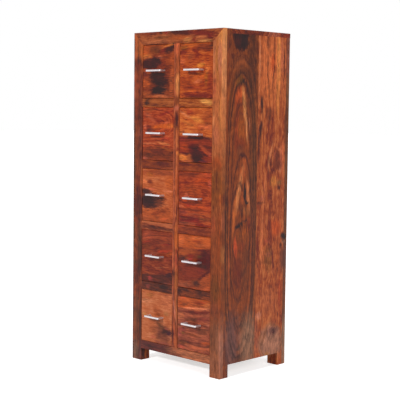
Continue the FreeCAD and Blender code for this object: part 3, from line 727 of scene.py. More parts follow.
DRAWER_FIGURES: dict[str, Figure] = {
    "left_1": Figure(
        UMBER, (146, 64, 36), (184, 92, 52), seed=1, pith=(150, 30), ring=8, tilt=0.12, contrast=0.7,
        marks=(
            Mark((12, 22), (34, 16), COPPER, 0.7, 0, 0.6),
            Mark((16, 43), (34, 10), AMBER, 0.85, -4, pull=4),
            Mark((66, 20), (34, 15), (108, 58, 34), 0.8, 0, 0.5),
            Mark((112, 24), (24, 12), WINE, 0.8, -14, 0.6),
            Mark((140, 18), (32, 12), PLUM, 0.92, -18, 0.5), Mark((134, 5), (34, 3.5), AMBER, 0.85, -12),
            Mark((118, 66), (36, 24), (138, 62, 34), 0.7, 0, 0.7),
            Mark((154, 66), (12, 26), (168, 78, 46), 0.7, 0, 0.6),
            Mark((90, 46), (14, 6), (164, 88, 66), 0.7), Mark((44, 68), (60, 26), WINE, 0.7, 4, 0.6),
            Mark((30, 70), (42, 18), PLUM, 0.9, 4, 0.35, 0.7),
            Mark((64, 62), (27, 18), PLUM, 0.97, 6, 0.3, 0.7, pull=9),
            Mark((10, 112), (14, 22), (112, 50, 44), 0.75, 0, 0.6),
            Mark((24, 134), (30, 18), COPPER, 0.8, 0, 0.5),
            Mark((128, 108), (22, 26), (104, 48, 32), 0.75, 0, 0.7),
            Mark((86, 134), (58, 46), UMBER, 0.75, 4, 0.4, 0.8),
            Mark((80, 116), (42, 24), (66, 42, 28), 0.92, 6, 0.35, 0.7, pull=8),
            Mark((96, 136), (40, 14), (58, 38, 34), 0.92, 4, 0.4, 0.8),
            Mark((86, 162), (42, 15), SOOT, 0.92, -4, 0.35, 0.9),
            Mark((108, 151), (16, 3), (96, 56, 48), 0.7),
            Mark((154, 140), (12, 60), (178, 86, 50), 0.75, 0, 0.5),
            Mark((96, 184), (42, 6), (194, 104, 66), 0.75), Mark((20, 180), (30, 12), (162, 80, 48), 0.6))),
    "right_1": Figure(
        (120, 46, 26), (170, 72, 38), (206, 104, 52), seed=2, pith=(92, 18), ring=9, bow=3.2, bow_at=96,
        wander=12, contrast=0.85, marks=(
            Mark((50, 5), (50, 6), (178, 88, 46), 0.7), Mark((18, 17), (22, 9), OLIVE, 0.75),
            Mark((14, 35), (20, 9), WINE, 0.7), Mark((122, 18), (50, 13), (118, 54, 32), 0.85, 0, 0.5),
            Mark((154, 14), (12, 10), (86, 48, 38), 0.8),
            Mark((52, 42), (16, 18), (182, 86, 50), 0.8, 0, 0.6), Mark((76, 30), (16, 6), WINE, 0.8, 14),
            Mark((10, 60), (16, 12), (192, 92, 60), 0.7),
            Mark((104, 76), (22, 7), (218, 128, 58), 0.9, -12, pull=-5),
            Mark((122, 66), (18, 4), (204, 98, 56), 0.7, 16),
            Mark((135, 92), (8, 12), (212, 112, 62), 0.8), Mark((130, 122), (7, 22), (164, 88, 38), 0.75),
            Mark((70, 118), (34, 5), (196, 94, 50), 0.7, 16), Mark((86, 131), (18, 6), SALMON, 0.7, -10),
            Mark((112, 116), (14, 6), COPPER, 0.75, -30), Mark((30, 140), (36, 16), RUSSET, 0.7, 0, 0.7),
            Mark((152, 136), (14, 36), (130, 50, 34), 0.8, 0, 0.6),
            Mark((78, 152), (40, 6), (136, 52, 30), 0.7), Mark((70, 166), (30, 4), COPPER, 0.7),
            Mark((90, 180), (86, 11), (112, 42, 26), 0.9, 0, 0.4),
            Mark((80, 176), (40, 2.5), (158, 66, 38), 0.7), Mark((76, 190), (70, 3), (120, 60, 26), 0.7))),
    "left_2": Figure(
        (118, 48, 30), (164, 66, 40), (196, 92, 56), seed=3, pith=(60, 8), ring=7.5, bow=2.4, bow_at=30,
        wander=10, marks=(
            Mark((34, 12), (30, 7), (128, 62, 36), 0.7), Mark((40, 38), (34, 8), (190, 92, 62), 0.7, 34),
            Mark((120, 24), (40, 5), (140, 44, 30), 0.7, -16), Mark((86, 47), (20, 4), (126, 44, 24), 0.8),
            Mark((124, 54), (16, 4), (206, 98, 66), 0.8, -10),
            Mark((104, 67), (58, 9), (204, 94, 44), 0.9, -6),
            Mark((144, 68), (18, 6), (220, 110, 54), 0.8, -8),
            Mark((100, 84), (52, 6), (178, 74, 44), 0.7, -3), Mark((14, 70), (9, 9), (188, 94, 68), 0.75),
            Mark((31, 72), (14, 13), (116, 48, 28), 0.85, 0, 0.5),
            Mark((38, 84), (18, 7), (98, 50, 44), 0.8), Mark((122, 112), (28, 5), (168, 62, 46), 0.7),
            Mark((112, 129), (30, 4.5), (208, 114, 68), 0.85, 6),
            Mark((40, 133), (44, 4), (188, 98, 64), 0.8, -3), Mark((80, 121), (60, 3), (140, 58, 38), 0.6),
            Mark((80, 172), (120, 30), (118, 56, 38), 0.92, -2, 0.3, 0.4),
            Mark((80, 160), (34, 10), UMBER, 0.7), Mark((120, 148), (44, 3), (150, 74, 40), 0.7, 12),
            Mark((18, 185), (14, 6), (166, 84, 66), 0.75))),
    "right_2": Figure(
        (140, 58, 32), (196, 94, 48), (222, 128, 68), seed=4, pith=(-10, 26), ring=10, tilt=-0.55, bow=1.2,
        bow_at=0, wander=8, contrast=0.8, marks=(
            Mark((50, 14), (16, 12), (158, 58, 36), 0.8, 20, 0.5),
            Mark((136, 38), (34, 28), (156, 72, 44), 0.75, 0, 0.6), Mark((124, 46), (16, 7), RUSSET, 0.7),
            Mark((34, 26), (28, 5), (222, 126, 80), 0.85, 24),
            Mark((88, 42), (30, 8), (218, 128, 62), 0.85, 12),
            Mark((26, 39), (20, 3.4), (158, 62, 28), 0.85, 26),
            Mark((46, 56), (46, 7), (216, 116, 58), 0.75, 18),
            Mark((128, 68), (34, 9), (200, 98, 62), 0.75), Mark((96, 72), (26, 4), (170, 72, 40), 0.7, 8),
            Mark((80, 148), (140, 52), (124, 50, 36), 0.95, 0, 0.12, 0.3, pull=6),
            # The second mark on the next line, a very dark band just under the pull, is partly a dark
            # streak of the wood and partly painted shadow of the pull.
            Mark((12, 86), (14, 4), UMBER, 0.8), Mark((104, 103), (70, 6), (74, 32, 20), 0.85, 0, 0.5),
            Mark((16, 108), (20, 9), (146, 52, 46), 0.8),
            Mark((34, 140), (28, 12), (178, 70, 38), 0.85, 0, 0.5),
            Mark((30, 161), (28, 4), (88, 32, 34), 0.85, 4),
            Mark((20, 175), (28, 10), (224, 124, 62), 0.92, 8),
            Mark((52, 174), (14, 13), (178, 94, 54), 0.8), Mark((46, 189), (30, 3), (186, 98, 66), 0.7),
            Mark((66, 146), (17, 24), (98, 32, 32), 0.85, -10, 0.5),
            Mark((88, 164), (24, 34), (64, 36, 22), 0.95, -12, 0.4, 0.7, pull=8),
            Mark((126, 146), (28, 6), (170, 76, 50), 0.85, 32),
            Mark((118, 158), (24, 4), (84, 38, 18), 0.85, 30),
            Mark((120, 184), (14, 6), (96, 46, 50), 0.8), Mark((148, 160), (6, 8), (162, 76, 60), 0.75))),
    "left_3": Figure(
        (142, 62, 38), (184, 90, 52), (208, 116, 72), seed=5, pith=(112, 10), ring=11, bow=1.4, bow_at=10,
        wander=7, contrast=0.6, veins=0.25, marks=(
            Mark((124, 11), (44, 10), (150, 70, 46), 0.8, 0, 0.5),
            Mark((44, 20), (14, 8), (168, 86, 38), 0.7), Mark((16, 46), (16, 11), (218, 118, 72), 0.85),
            Mark((40, 48), (15, 6), (124, 54, 40), 0.9), Mark((74, 38), (18, 10), (194, 108, 68), 0.7),
            Mark((144, 44), (20, 22), (194, 92, 46), 0.7, 0, 0.6),
            Mark((48, 74), (26, 4), (208, 102, 70), 0.8), Mark((138, 75), (24, 4), (214, 118, 82), 0.8),
            Mark((84, 168), (110, 26), (164, 76, 44), 0.8, -4, 0.4),
            Mark((90, 158), (34, 6), (142, 62, 34), 0.8, -12),
            Mark((120, 176), (30, 4), (184, 84, 52), 0.7, -8),
            Mark((50, 116), (64, 30), (104, 52, 42), 0.85, 0, 0.3),
            Mark((22, 86), (32, 10), (60, 30, 30), 0.96, 2, 0.3),
            Mark((30, 120), (46, 24), (62, 32, 36), 0.97, 4, 0.25, 0.5, pull=14),
            # The second mark on the next line, a brown band just under the pull, is painted shadow of the
            # pull.
            Mark((84, 120), (20, 9), (108, 58, 46), 0.8, -10), Mark((84, 106), (28, 5), (84, 48, 34), 0.8),
            Mark((16, 180), (16, 10), (186, 92, 58), 0.6))),
    "right_3": Figure(
        (112, 42, 26), (156, 64, 38), (192, 86, 50), seed=6, pith=(78, 8), ring=6.5, bow=2.8, bow_at=96,
        wander=13, contrast=0.9, veins=0.6, marks=(
            Mark((46, 11), (44, 9), (116, 52, 28), 0.85, 0, 0.5),
            Mark((142, 6), (24, 8), (188, 78, 50), 0.8),
            Mark((122, 34), (44, 12), (182, 72, 40), 0.85, -3, 0.5),
            Mark((156, 40), (8, 12), (194, 88, 66), 0.75),
            Mark((74, 66), (44, 18), (150, 66, 36), 0.8, 0, 0.6),
            Mark((128, 74), (16, 14), (136, 54, 34), 0.8, 0, 0.5),
            Mark((37, 84), (6, 6), (188, 92, 66), 0.75), Mark((22, 104), (22, 7), EMBER, 0.7),
            Mark((96, 121), (74, 6), (186, 76, 44), 0.85),
            Mark((130, 122), (26, 4), (202, 86, 48), 0.8, 4), Mark((48, 120), (12, 4), (182, 60, 44), 0.8),
            Mark((12, 125), (14, 4), (192, 98, 68), 0.8),
            Mark((60, 134), (62, 5), (118, 54, 26), 0.85, -2),
            Mark((26, 146), (28, 7), (136, 60, 50), 0.8),
            Mark((70, 168), (84, 14), (108, 38, 26), 0.9, 0, 0.4),
            Mark((134, 160), (32, 18), (172, 84, 50), 0.85, 0, 0.4),
            Mark((136, 154), (22, 3), (116, 48, 26), 0.85, 10),
            Mark((128, 170), (24, 3), (122, 50, 28), 0.8, -8),
            Mark((78, 148), (34, 3), (152, 76, 54), 0.8, -4),
            Mark((74, 158), (30, 2.6), (146, 70, 50), 0.75, 6),
            Mark((28, 165), (26, 2.6), (144, 68, 48), 0.75), Mark((44, 184), (52, 6), (150, 74, 54), 0.8),
            Mark((108, 184), (30, 4), (118, 34, 24), 0.85, -3))),
    "left_4": Figure(
        (98, 42, 29), (132, 57, 36), (160, 76, 49), seed=7, pith=(96, 90), ring=5.5, tilt=-0.12, wander=5,
        contrast=0.9, veins=0.5, marks=(
            Mark((34, 24), (32, 16), (162, 74, 52), 0.7, -8, 0.6),
            Mark((26, 45), (24, 2.6), (168, 60, 46), 0.8, -8),
            Mark((70, 56), (26, 20), (114, 50, 34), 0.8, 0, 0.6),
            Mark((26, 64), (24, 9), (122, 60, 36), 0.7),
            Mark((134, 36), (34, 18), (154, 70, 46), 0.6, -8, 0.7),
            Mark((132, 48), (24, 3), (126, 42, 34), 0.8, -8),
            Mark((116, 72), (36, 5), (168, 60, 42), 0.8, -8),
            Mark((148, 80), (16, 10), (168, 76, 42), 0.75, -8),
            Mark((64, 86), (22, 6), (154, 78, 62), 0.7, -6), Mark((122, 106), (10, 4), (152, 66, 50), 0.7),
            Mark((112, 131), (46, 1.8), (170, 88, 58), 0.8, -8),
            Mark((60, 148), (50, 3), (118, 50, 34), 0.7, -8),
            Mark((90, 176), (110, 16), (80, 44, 32), 0.92, -3.5, 0.25, 0.5),
            Mark((148, 156), (20, 8), (66, 40, 44), 0.9, -6),
            Mark((20, 172), (30, 10), (86, 46, 35), 0.85),
            Mark((84, 178), (30, 6), (104, 52, 42), 0.75, -4),
            Mark((46, 178), (12, 8), (168, 66, 60), 0.88, 0, 0.5),
            Mark((132, 189), (30, 4), (126, 70, 60), 0.75, -4))),
    "right_4": Figure(
        (92, 42, 30), (126, 57, 39), (158, 76, 47), seed=8, pith=(120, 30), ring=12, bow=2, bow_at=60,
        wander=6, contrast=0.55, veins=0.3, marks=(
            Mark((84, 14), (120, 34), (180, 85, 47), 0.95, -2, 0.1, 0.4),
            Mark((14, 26), (14, 18), (210, 104, 60), 0.8, 0, 0.6),
            Mark((100, 10), (52, 3), (208, 108, 62), 0.75, -4),
            Mark((92, 22), (24, 5), (134, 58, 34), 0.9, -4),
            Mark((120, 32), (44, 3), (204, 102, 62), 0.6, -4),
            Mark((84, 51), (84, 4.5), (98, 42, 24), 0.9, -4),
            Mark((40, 62), (46, 13), (170, 82, 48), 0.88, -10, 0.4),
            Mark((60, 74), (18, 6), (128, 46, 36), 0.8), Mark((62, 85), (12, 4), (172, 62, 56), 0.85, -8),
            Mark((16, 88), (18, 6), (82, 46, 44), 0.88, -6),
            Mark((138, 84), (40, 34), (86, 35, 22), 0.95, 0, 0.25, 0.35),
            Mark((106, 74), (10, 5), (88, 60, 36), 0.8),
            Mark((122, 106), (18, 11), (72, 44, 40), 0.8, 0, 0.5),
            Mark((112, 124), (20, 12), (120, 46, 46), 0.8, 0, 0.5),
            Mark((60, 134), (62, 34), (126, 54, 42), 0.85, -6, 0.4, 0.3),
            Mark((10, 130), (10, 30), CHESTNUT, 0.7),
            Mark((146, 158), (40, 26), (164, 78, 48), 0.9, -38, 0.3, 0.3),
            Mark((136, 132), (36, 5), (84, 36, 18), 0.95, -36, 0.5, 0.2),
            Mark((56, 166), (60, 2.4), (156, 78, 54), 0.7, -6),
            Mark((90, 168), (24, 12), (112, 60, 42), 0.8), Mark((92, 168), (14, 8), (72, 44, 42), 0.9, -8),
            Mark((34, 181), (36, 8), (168, 86, 60), 0.8, -4),
            Mark((120, 184), (44, 5), (172, 82, 52), 0.8, -4))),
    "left_5": Figure(
        (160, 80, 50), (188, 102, 64), (208, 128, 88), seed=9, pith=(-60, 60), ring=14, wander=8,
        contrast=0.45, veins=0.12, blotch=0.7, marks=(
            Mark((124, 4), (40, 4), (148, 72, 50), 0.7, -6), Mark((42, 18), (20, 8), (176, 102, 54), 0.7),
            Mark((32, 42), (38, 8), (210, 128, 88), 0.8, -4),
            Mark((84, 66), (22, 26), (162, 80, 48), 0.8, 0, 0.7),
            Mark((20, 68), (20, 7), (176, 90, 54), 0.7),
            Mark((134, 30), (26, 26), (194, 106, 72), 0.6, 0, 0.7),
            Mark((134, 75), (12, 8), (172, 112, 72), 0.7), Mark((20, 90), (14, 5), (190, 124, 74), 0.7),
            Mark((74, 150), (20, 36), (152, 80, 52), 0.75, 10, 0.7),
            Mark((118, 154), (42, 34), (112, 60, 48), 0.9, 24, 0.5, 0.4),
            Mark((104, 126), (22, 12), (104, 62, 42), 0.75, 30),
            Mark((134, 143), (26, 9), (64, 40, 32), 0.92, 4, 0.4),
            Mark((152, 147), (14, 9), (72, 38, 48), 0.92, 0, pull=5),
            Mark((134, 131), (12, 4), (146, 72, 60), 0.7), Mark((124, 186), (50, 6), (136, 70, 58), 0.75),
            Mark((66, 172), (12, 7), (194, 100, 76), 0.6))),
    "right_5": Figure(
        (104, 51, 40), (144, 73, 57), (183, 98, 68), seed=10, pith=(128, 6), ring=7.5, bow=2.2, bow_at=84,
        wander=12, contrast=0.9, veins=0.5, marks=(
            Mark((84, 14), (120, 26), (176, 84, 48), 0.9, -8, 0.25, 0.4),
            Mark((110, 14), (26, 6), (150, 60, 34), 0.8, -6),
            Mark((148, 22), (20, 10), (200, 106, 62), 0.8, -8),
            Mark((14, 30), (14, 12), (168, 74, 36), 0.7), Mark((34, 6), (18, 5), (186, 84, 56), 0.7),
            Mark((94, 36), (74, 2.8), (210, 118, 82), 0.85, -6),
            Mark((100, 48), (74, 5), (106, 46, 36), 0.9, -7),
            Mark((90, 60), (60, 3), (164, 84, 60), 0.7, -8),
            Mark((16, 70), (18, 10), (194, 106, 70), 0.8, -8),
            Mark((80, 75), (34, 9), (112, 60, 44), 0.85, -8, 0.5),
            Mark((128, 70), (30, 9), (136, 62, 52), 0.8, -6, 0.5),
            Mark((146, 90), (20, 2.4), (172, 98, 76), 0.8, -8),
            Mark((8, 105), (9, 6), (102, 60, 40), 0.85),
            Mark((136, 114), (30, 10), (118, 64, 46), 0.8, -6, 0.6),
            Mark((20, 119), (18, 5), (160, 72, 66), 0.85, -8),
            Mark((27, 131), (7, 4), (106, 74, 36), 0.85), Mark((11, 139), (9, 9), (158, 76, 64), 0.8),
            Mark((76, 131), (44, 4), (108, 56, 38), 0.88, 4),
            Mark((84, 139), (50, 2.2), (160, 84, 62), 0.7, -4),
            Mark((144, 153), (24, 6), (182, 82, 46), 0.8, -6),
            Mark((34, 167), (34, 7), (110, 60, 42), 0.85, -4),
            Mark((110, 176), (60, 13), (168, 86, 60), 0.75, -6, 0.5),
            Mark((22, 183), (16, 6), (194, 86, 66), 0.85), Mark((64, 160), (10, 5), (126, 56, 44), 0.8))),
}
FRAME_FIGURES: dict[str, Figure] = {
    "post_left": Figure(
        (80, 42, 32), (120, 58, 41), (156, 80, 51), seed=21, pith=(60, 50), ring=6.5, wander=7,
        contrast=0.9, blotch=0.7, marks=(
            # The post is written lighter at the top and darker lower down. Part of this is the wood's own
            # tone, and part is painted shade where the light falls off towards the floor.
            Mark((22, 40), (44, 62), (168, 88, 52), 0.85, 0, 0.4),
            Mark((42, 74), (14, 22), (188, 98, 52), 0.8),
            Mark((5, 120), (6, 170), (146, 78, 60), 0.75, 0, 0.6),
            Mark((22, 114), (18, 22), (102, 48, 38), 0.8), Mark((26, 180), (26, 30), (142, 66, 46), 0.8),
            Mark((26, 290), (40, 54), (114, 53, 40), 0.85, 0, 0.5),
            Mark((38, 368), (16, 28), (146, 74, 58), 0.85),
            Mark((5, 560), (6, 230), (84, 56, 38), 0.8, 0, 0.6),
            Mark((24, 440), (10, 50), (126, 62, 44), 0.7), Mark((30, 530), (14, 36), (134, 60, 38), 0.75),
            Mark((44, 520), (5, 50), (160, 84, 48), 0.7), Mark((26, 575), (9, 20), (104, 44, 40), 0.8),
            Mark((24, 625), (30, 34), (84, 42, 34), 0.85), Mark((26, 678), (20, 16), (126, 56, 42), 0.8),
            Mark((36, 770), (12, 80), (88, 53, 37), 0.8, 0, 0.6),
            Mark((16, 836), (14, 8), (112, 78, 54), 0.75), Mark((22, 870), (26, 50), (88, 46, 36), 0.7),
            Mark((26, 945), (20, 16), (118, 54, 38), 0.8), Mark((22, 1030), (14, 80), (106, 64, 48), 0.75),
            Mark((43, 1060), (6, 110), (76, 48, 42), 0.8),
            Mark((18, 1170), (16, 44), (108, 80, 68), 0.8, 0, 0.6),
            Mark((42, 1170), (9, 40), (92, 58, 58), 0.75))),
    "post_right": Figure(
        (104, 54, 34), (152, 80, 48), (192, 112, 70), seed=22, pith=(-30, 26), ring=6, wander=6,
        contrast=0.62, blotch=0.4, marks=(
            # The large upper mark here is lighter and the one at 860 is darker. Part of this is the wood's
            # own tone, and part is painted light: lit at the top and shaded lower down, where the light
            # falls off towards the floor.
            Mark((24, 150), (60, 300), (190, 106, 65), 0.75, 0, 0.3),
            Mark((40, 30), (16, 40), (206, 128, 72), 0.85), Mark((7, 100), (8, 70), (202, 118, 78), 0.85),
            Mark((20, 110), (6, 60), (170, 102, 56), 0.75), Mark((34, 104), (9, 64), (194, 116, 84), 0.8),
            Mark((46, 90), (4, 150), (218, 144, 86), 0.85, 0, 0.6),
            Mark((6, 200), (7, 40), (190, 92, 64), 0.75), Mark((40, 290), (9, 60), (190, 114, 66), 0.8),
            Mark((7, 310), (5, 26), (212, 126, 80), 0.88), Mark((14, 362), (16, 28), (180, 98, 68), 0.75),
            Mark((24, 462), (30, 28), (150, 68, 38), 0.8),
            Mark((24, 545), (60, 68), (124, 68, 38), 0.85, 0, 0.4),
            Mark((25, 520), (4, 32), (92, 48, 26), 0.88), Mark((40, 584), (9, 22), (172, 86, 46), 0.8),
            Mark((24, 860), (60, 270), (132, 66, 42), 0.85, 0, 0.3),
            Mark((9, 672), (10, 34), (162, 76, 50), 0.8), Mark((36, 700), (6, 90), (150, 70, 40), 0.6),
            Mark((22, 892), (20, 40), (110, 64, 40), 0.85, 0, 0.6),
            Mark((24, 968), (26, 30), (126, 66, 48), 0.75),
            Mark((22, 1060), (34, 66), (122, 74, 54), 0.85, 0, 0.5),
            Mark((38, 1070), (9, 60), (144, 90, 68), 0.75),
            Mark((24, 1160), (40, 50), (150, 92, 68), 0.85, 0, 0.5),
            Mark((26, 1156), (4, 30), (100, 56, 40), 0.8),
            # The marks at u 50 to 54 lay the strip along the post's right arris and side. It is partly
            # painted light. The top mark is a painted highlight whose soft edge reaches onto the front
            # face's edge. The strip is also written lighter at the top and darker lower down, partly as
            # painted shade. The rest is the strip's own colour.
            Mark((52, 60), (7, 330), (220, 138, 92), 0.85, 0, 0.7),
            Mark((50, 330), (5, 120), (196, 112, 66), 0.7, 0, 0.7),
            Mark((54, 585), (7, 34), (110, 50, 38), 0.85), Mark((50, 655), (4, 30), (164, 88, 60), 0.75),
            Mark((52, 770), (6, 36), (176, 104, 60), 0.85), Mark((52, 860), (7, 60), (148, 78, 50), 0.7),
            Mark((54, 480), (8, 80), (158, 86, 50), 0.7),
            Mark((52, 1110), (8, 110), (180, 116, 93), 0.85, 0, 0.6))),
    "top_rail": Figure(
        (92, 42, 30), (154, 80, 50), (190, 108, 68), seed=23, pith=(70, 30), ring=7, wander=6,
        contrast=0.6, marks=(
            Mark((100, 4), (60, 6), (128, 54, 40), 0.75), Mark((140, 3), (6, 5), (50, 29, 22), 0.9),
            Mark((172, 7), (9, 6), (150, 46, 46), 0.8),
            Mark((245, 6), (58, 11), (76, 33, 29), 0.92, 3, 0.4),
            Mark((345, 14), (70, 12), (112, 43, 36), 0.9, 7, 0.4),
            Mark((378, 26), (16, 7), (102, 39, 33), 0.85, 20),
            Mark((150, 23), (44, 5), (112, 62, 33), 0.75), Mark((112, 36), (60, 6), (184, 104, 68), 0.75),
            Mark((236, 24), (50, 8), (166, 80, 45), 0.7), Mark((274, 34), (17, 9), (196, 120, 70), 0.85),
            Mark((306, 36), (7, 9), (126, 48, 38), 0.88), Mark((336, 25), (28, 5), (190, 104, 65), 0.8),
            Mark((356, 40), (30, 5), (210, 134, 78), 0.85), Mark((98, 44), (32, 2.5), (84, 41, 31), 0.85),
            Mark((203, 44), (6, 3), (72, 58, 42), 0.8))),
    "bottom_rail": Figure(
        (78, 42, 38), (128, 66, 48), (182, 98, 62), seed=24, pith=(60, 40), ring=6, wander=6, contrast=0.7,
        marks=(
            Mark((76, 16), (110, 26), (88, 48, 48), 0.85, soft=0.4),
            Mark((280, 14), (110, 22), (182, 108, 76), 0.85, soft=0.4),
            Mark((196, 24), (30, 8), (110, 56, 44), 0.7, turn=-8))),
    "stile": Figure(
        (116, 54, 34), (164, 80, 47), (202, 108, 67), seed=25, pith=(44, 24), ring=5, wander=6,
        contrast=0.9, marks=(
            Mark((4, 560), (6.5, 5000), (188, 96, 66), 0.75, 0, 0.2, 0.2),
            Mark((10, 560), (0.9, 5000), (100, 46, 32), 0.8, 0, 0.3, 0.1),
            Mark((18, 20), (14, 34), (192, 94, 62), 0.75), Mark((18, 82), (12, 34), (158, 80, 50), 0.7),
            Mark((18, 112), (12, 2.4), (92, 38, 28), 0.8),
            Mark((18, 154), (12, 38), (204, 124, 72), 0.9, 0, 0.4),
            Mark((14, 208), (18, 15), (124, 62, 36), 0.88), Mark((16, 235), (16, 10), (192, 102, 76), 0.8),
            Mark((4, 276), (6, 14), (146, 54, 34), 0.85),
            Mark((18, 272), (12, 30), (128, 58, 32), 0.85, 0, 0.5),
            Mark((18, 270), (7, 24), (72, 33, 18), 0.95, 0, 0.5, 0.6, pull=5),
            Mark((16, 304), (16, 3), (108, 60, 28), 0.85, 16),
            Mark((17, 352), (4, 26), (190, 104, 64), 0.7), Mark((22, 382), (8, 6), (124, 48, 34), 0.85),
            Mark((22, 396), (8, 8), (222, 122, 64), 0.88), Mark((22, 510), (7, 60), (162, 72, 42), 0.7),
            Mark((21, 596), (5, 18), (112, 48, 22), 0.92, 0, 0.5, 0.5),
            Mark((17, 634), (5, 14), (106, 48, 32), 0.85), Mark((19, 705), (9, 44), (170, 84, 42), 0.7),
            Mark((21, 745), (6, 9), (116, 48, 34), 0.85), Mark((27, 756), (2, 12), (52, 30, 26), 0.9),
            Mark((19, 782), (10, 26), (150, 66, 50), 0.8), Mark((3, 826), (4, 12), (80, 36, 32), 0.88),
            Mark((20, 862), (9, 38), (138, 76, 46), 0.8),
            Mark((18, 990), (16, 90), (138, 68, 48), 0.7, 0, 0.6),
            Mark((14, 958), (4, 54), (178, 104, 82), 0.85, -12),
            Mark((23, 950), (5, 50), (176, 98, 60), 0.75), Mark((6, 1050), (8, 28), (96, 42, 40), 0.88))),
    "panel_front": Figure(
        (88, 42, 28), (138, 68, 37), (178, 95, 53), seed=31, pith=(97, 8), ring=7, bow=0.273, bow_at=640,
        wander=3.5, contrast=0.9, veins=0.6,
        zones=(Zone(-10, 64, (142, 70, 42), 0.6, soft=4), Zone(65, 69, (56, 30, 22), 0.85, soft=1.6),
               Zone(73, 82, (80, 50, 30), 0.6, soft=2.5), Zone(90, 93, (66, 38, 28), 0.6, soft=1.5)),
        marks=(
            Mark((146, 120), (26, 170), (86, 50, 34), 0.75, soft=0.6),
            Mark((156, 460), (14, 210), (84, 54, 36), 0.6, soft=0.6),
            Mark((22, 120), (6, 140), (148, 70, 40), 0.8, soft=0.6),
            Mark((21, 350), (5, 120), (146, 68, 34), 0.75, soft=0.6),
            Mark((20, 700), (4, 130), (80, 48, 30), 0.8, soft=0.6),
            Mark((34, 70), (16, 70), (118, 62, 46), 0.6, soft=0.6),
            Mark((48, 92), (9, 12), (72, 36, 40), 0.8),
            Mark((84, 118), (34, 34), (126, 68, 46), 0.7, soft=0.6),
            Mark((84, 176), (18, 12), (108, 68, 38), 0.7, -40),
            Mark((87, 16), (40, 62), (66, 37, 36), 0.97, soft=0.08, ragged=0.12, pull=10),
            Mark((106, 40), (19, 28), (52, 39, 30), 0.85, soft=0.3, ragged=0.3),
            Mark((90, 196), (37, 4.5), (52, 28, 16), 0.97, -52, ragged=0.3),
            Mark((118, 190), (3, 34), (66, 34, 26), 0.8, -8),
            Mark((84, 232), (19, 34), (190, 84, 48), 0.8, 12),
            Mark((72, 330), (9, 90), (146, 62, 42), 0.6, 3), Mark((95, 334), (17, 34), (166, 84, 42), 0.8),
            Mark((100, 287), (13, 3.5), (88, 42, 24), 0.8, 22),
            Mark((109, 262), (9, 58), (228, 142, 84), 0.9, -9),
            Mark((124, 336), (4.5, 44), (226, 142, 90), 0.85, -5),
            Mark((138, 322), (3, 24), (176, 108, 80), 0.7), Mark((88, 388), (26, 26), (146, 62, 38), 0.7),
            Mark((90, 410), (17, 17), (106, 62, 46), 0.6),
            Mark((104, 640), (50, 212), (66, 34, 26), 0.8, rim=2.6, soft=0.6, ragged=0.35),
            Mark((108, 434), (16, 5), (70, 38, 26), 0.9, 14),
            Mark((106, 486), (15, 44), (176, 86, 50), 0.8, 6),
            Mark((86, 556), (10, 74), (228, 134, 80), 0.88, 14),
            Mark((136, 566), (7, 54), (216, 126, 80), 0.8, -8),
            Mark((104, 578), (9, 36), (190, 92, 50), 0.75),
            Mark((64, 650), (8, 70), (200, 102, 54), 0.75, 3),
            Mark((118, 560), (5.5, 36), (50, 25, 20), 0.98, -2, soft=0.22, ragged=0.3),
            Mark((128, 594), (9, 8), (48, 25, 20), 0.96, soft=0.3, ragged=0.4),
            Mark((126, 624), (20, 14), (158, 90, 54), 0.75), Mark((106, 640), (5, 26), (90, 46, 26), 0.75),
            Mark((90, 672), (20, 6.5), (44, 23, 15), 0.98, -20, soft=0.25, ragged=0.35),
            Mark((124, 657), (15, 4), (56, 31, 20), 0.9, -12),
            Mark((142, 668), (7, 26), (124, 52, 42), 0.7), Mark((112, 704), (28, 18), (176, 88, 44), 0.7),
            Mark((102, 746), (26, 15), (158, 68, 38), 0.7, -14),
            Mark((74, 750), (8, 32), (206, 84, 52), 0.88, -4),
            Mark((40, 800), (6, 34), (172, 86, 54), 0.75), Mark((84, 838), (26, 62), (114, 50, 38), 0.7),
            Mark((88, 736), (44, 202), (62, 32, 26), 0.7, rim=2.4, soft=0.6, ragged=0.35),
            Mark((86, 780), (26, 110), (72, 34, 26), 0.6, rim=2.2, soft=0.6, ragged=0.35),
            Mark((124, 810), (16, 90), (112, 60, 42), 0.6),
            Mark((162, 850), (7, 260), (84, 46, 38), 0.7, soft=0.5),
            Mark((100, 1054), (7, 70), (146, 84, 64), 0.8, -9),
            # The next two greyish marks at the foot of the panel are partly the wood's colour and partly
            # painted reflection of the pale floor.
            Mark((58, 1080), (38, 100), (110, 75, 70), 0.85, soft=0.5),
            Mark((144, 1092), (40, 100), (148, 106, 84), 0.85, soft=0.5))),
    "panel_rear": Figure(
        (116, 46, 29), (170, 80, 45), (212, 120, 70), seed=32, pith=(250, 14), ring=8, tilt=0.03, bow=0.03,
        bow_at=500, wander=17, contrast=1.05, veins=0.5, marks=(
            Mark((186, 100), (5, 130), (220, 134, 94), 0.85, soft=0.5),
            Mark((201, 112), (4, 100), (132, 56, 40), 0.75), Mark((215, 90), (5, 80), (208, 114, 72), 0.7),
            Mark((252, 120), (76, 130), (216, 114, 66), 0.75, 0, 0.6),
            Mark((240, 100), (24, 66), (206, 108, 64), 0.6),
            Mark((258, 112), (12, 34), (186, 74, 38), 0.75),
            Mark((288, 112), (10, 140), (224, 134, 74), 0.9, soft=0.5),
            Mark((289, 224), (8, 80), (214, 122, 64), 0.8, soft=0.5),
            Mark((242, 214), (20, 34), (210, 110, 62), 0.7),
            Mark((307, 80), (8, 60), (208, 112, 76), 0.85), Mark((320, 112), (4, 60), (106, 46, 28), 0.88),
            Mark((328, 330), (4, 110), (112, 58, 40), 0.85, 3),
            Mark((312, 450), (10, 44), (188, 98, 72), 0.8),
            Mark((326, 810), (14, 50), (104, 60, 50), 0.8, 0, 0.6),
            Mark((330, 726), (15, 12), (44, 30, 20), 0.95, 10, 0.4, 0.3),
            Mark((333, 746), (13, 5), (142, 97, 78), 0.88, 0, 0.4, 0.3),
